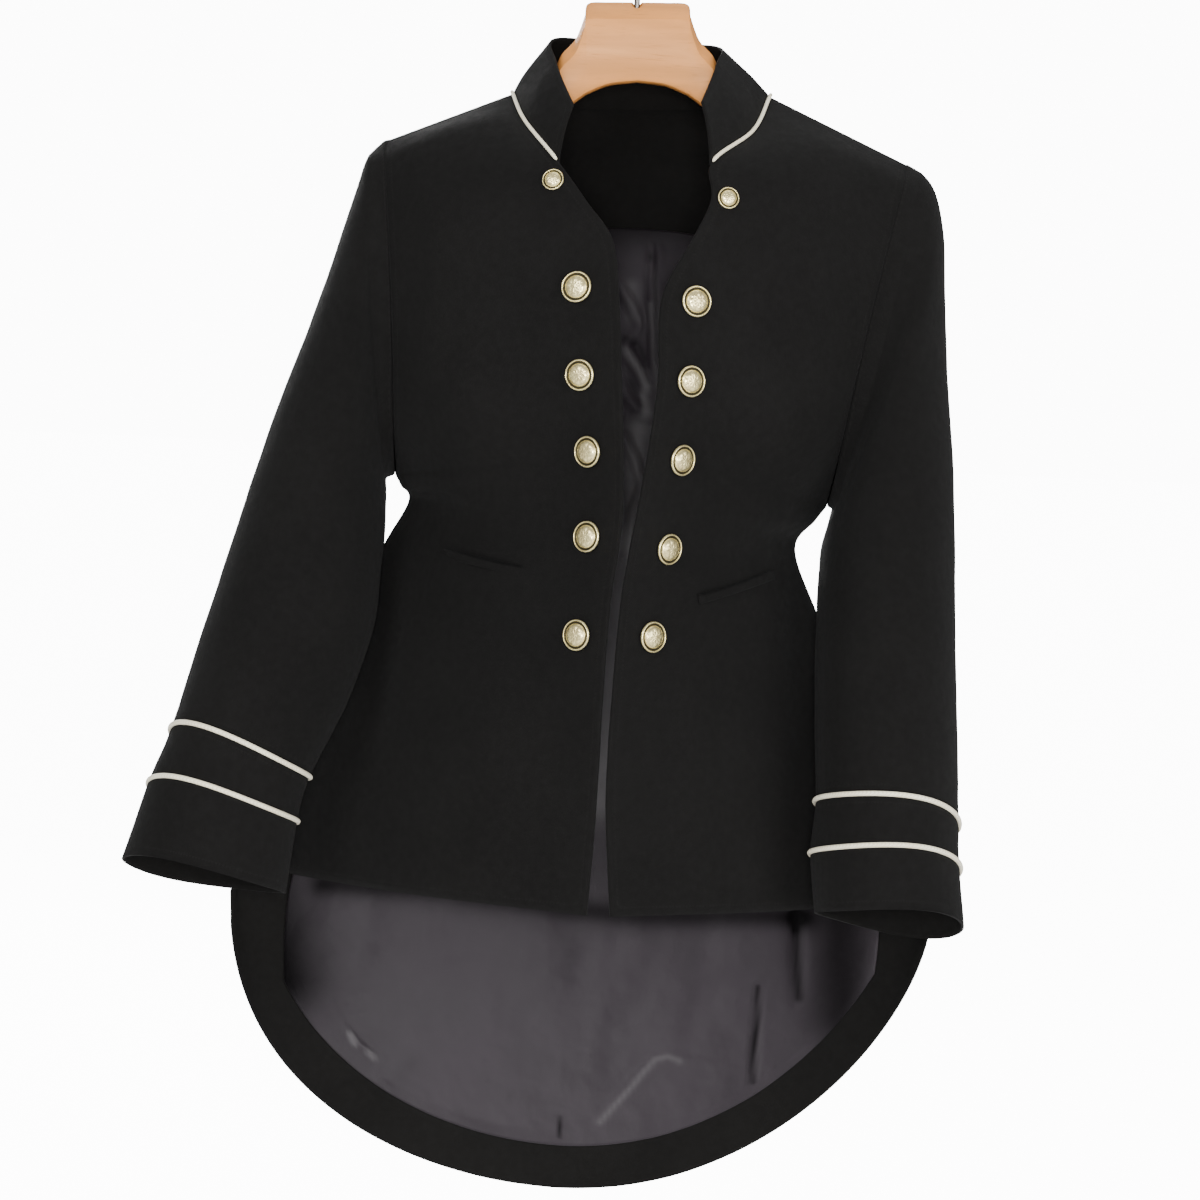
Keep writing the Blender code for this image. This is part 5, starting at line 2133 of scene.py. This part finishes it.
@dataclass
class Studio:
    """Camera, lights, floor and backdrop.

    Attributes:
        target: Point that the camera looks at, in metres.
        distance: How far off it stands, in metres.
        elevation: How far it looks down, in degrees.
        roll: How far it is turned about its own axis, in degrees.
        lens: Its focal length, in millimetres.
        sensor: Width of its sensor, in millimetres.
        far: How far it sees, in metres.
        chest: Height that the lamps are aimed at, in metres.
        floor: Height of the floor, in metres.
        reach: Half of the floor's width, in metres.
        paint: Brightness and roughness of the floor's paint.
        white: Brightness of the floor and the air as the camera sees them.
        air: Brightness of the air as the blazer sees it.
    """

    target: Three = (-0.0071, 0.0014, -0.4864)
    distance: float = 2.4
    elevation: float = 6.0
    roll: float = 2.6
    lens: float = 100.0
    sensor: float = 36.0
    far: float = 60.0
    chest: float = -0.45
    floor: float = -1.25
    reach: float = 14.0
    paint: Pair = (0.85, 0.9)
    white: float = 12.0
    air: float = 0.46

    def camera(self) -> None:
        """Camera at the height and the slight roll from which the blazer is seen."""
        data = bpy.data.cameras.new("camera")
        data.lens = self.lens
        data.sensor_width = self.sensor
        data.clip_end = self.far
        eye = linked("camera", data)
        e, r = math.radians(self.elevation), math.radians(self.roll)
        back = Vector((0, -math.cos(e), math.sin(e)))
        level = Vector((1, 0, 0))
        upright = back.cross(level)
        right = math.cos(r) * level + math.sin(r) * upright
        up = -math.sin(r) * level + math.cos(r) * upright
        turn = Matrix((right, up, back)).transposed()
        eye.matrix_world = Matrix.Translation(Vector(self.target) + back * self.distance) @ turn.to_4x4()
        bpy.context.scene.camera = eye

    def lamp(self, name: str, place: Three, size: float, power: float) -> None:
        """Soft square lamp aimed at the chest.

        Args:
            name: Name of the lamp.
            place: Where it stands, in metres.
            size: Its width, in metres.
            power: In watts.
        """
        data = bpy.data.lights.new(name, "AREA")
        data.shape = "SQUARE"
        data.size = size
        data.energy = power
        lamp = linked(name, data)
        lamp.location = place
        aim = Vector((0, 0, self.chest)) - Vector(place)
        lamp.rotation_euler = aim.to_track_quat("-Z", "Y").to_euler()

    def floor_and_air(self) -> None:
        """Pale floor that carries on into a white room."""
        form = bmesh.new()
        bmesh.ops.create_grid(form, x_segments=1, y_segments=1, size=self.reach,
                              matrix=Matrix.Translation((0, 0, self.floor)))
        mesh = finished("floor", form)
        floor = linked("floor", mesh)
        paint = bpy.data.materials.new("white_floor")
        paint.use_nodes = True
        nodes = Nodes(paint.node_tree)
        paint.node_tree.nodes.clear()
        shade, roughness = self.paint
        seen = nodes.add("LightPath").outputs["Is Camera Ray"]
        shader = nodes.add("BsdfPrincipled", {
            "Base Color": (shade, shade, shade, 1), "Roughness": roughness, "Emission Color": (1, 1, 1, 1),
            "Emission Strength": nodes.times(seen, self.white),
        })
        nodes.add("OutputMaterial", {0: shader.outputs[0]})
        mesh.materials.append(paint)
        world = bpy.data.worlds.new("white_room")
        world.use_nodes = True
        air = Nodes(world.node_tree)
        seen = air.add("LightPath").outputs["Is Camera Ray"]
        strength = air.ramp(seen, self.air, self.white)
        air.feed(world.node_tree.nodes["Background"], {"Color": (1, 1, 1, 1), "Strength": strength})
        bpy.context.scene.world = world

    def build(self) -> None:
        """Set up the room."""
        self.camera()
        self.floor_and_air()
        for name, place, size, power in LAMPS:
            self.lamp(name, place, size, power)


def main() -> None:
    """Load the model, dress it and set up the room."""
    logging.basicConfig(level=logging.INFO, format="%(name)s %(message)s")
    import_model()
    Studio().build()
    Garment(Shape()).build()
    Hanger().build()
    Hook().build()


if __name__ == "__main__":
    main()
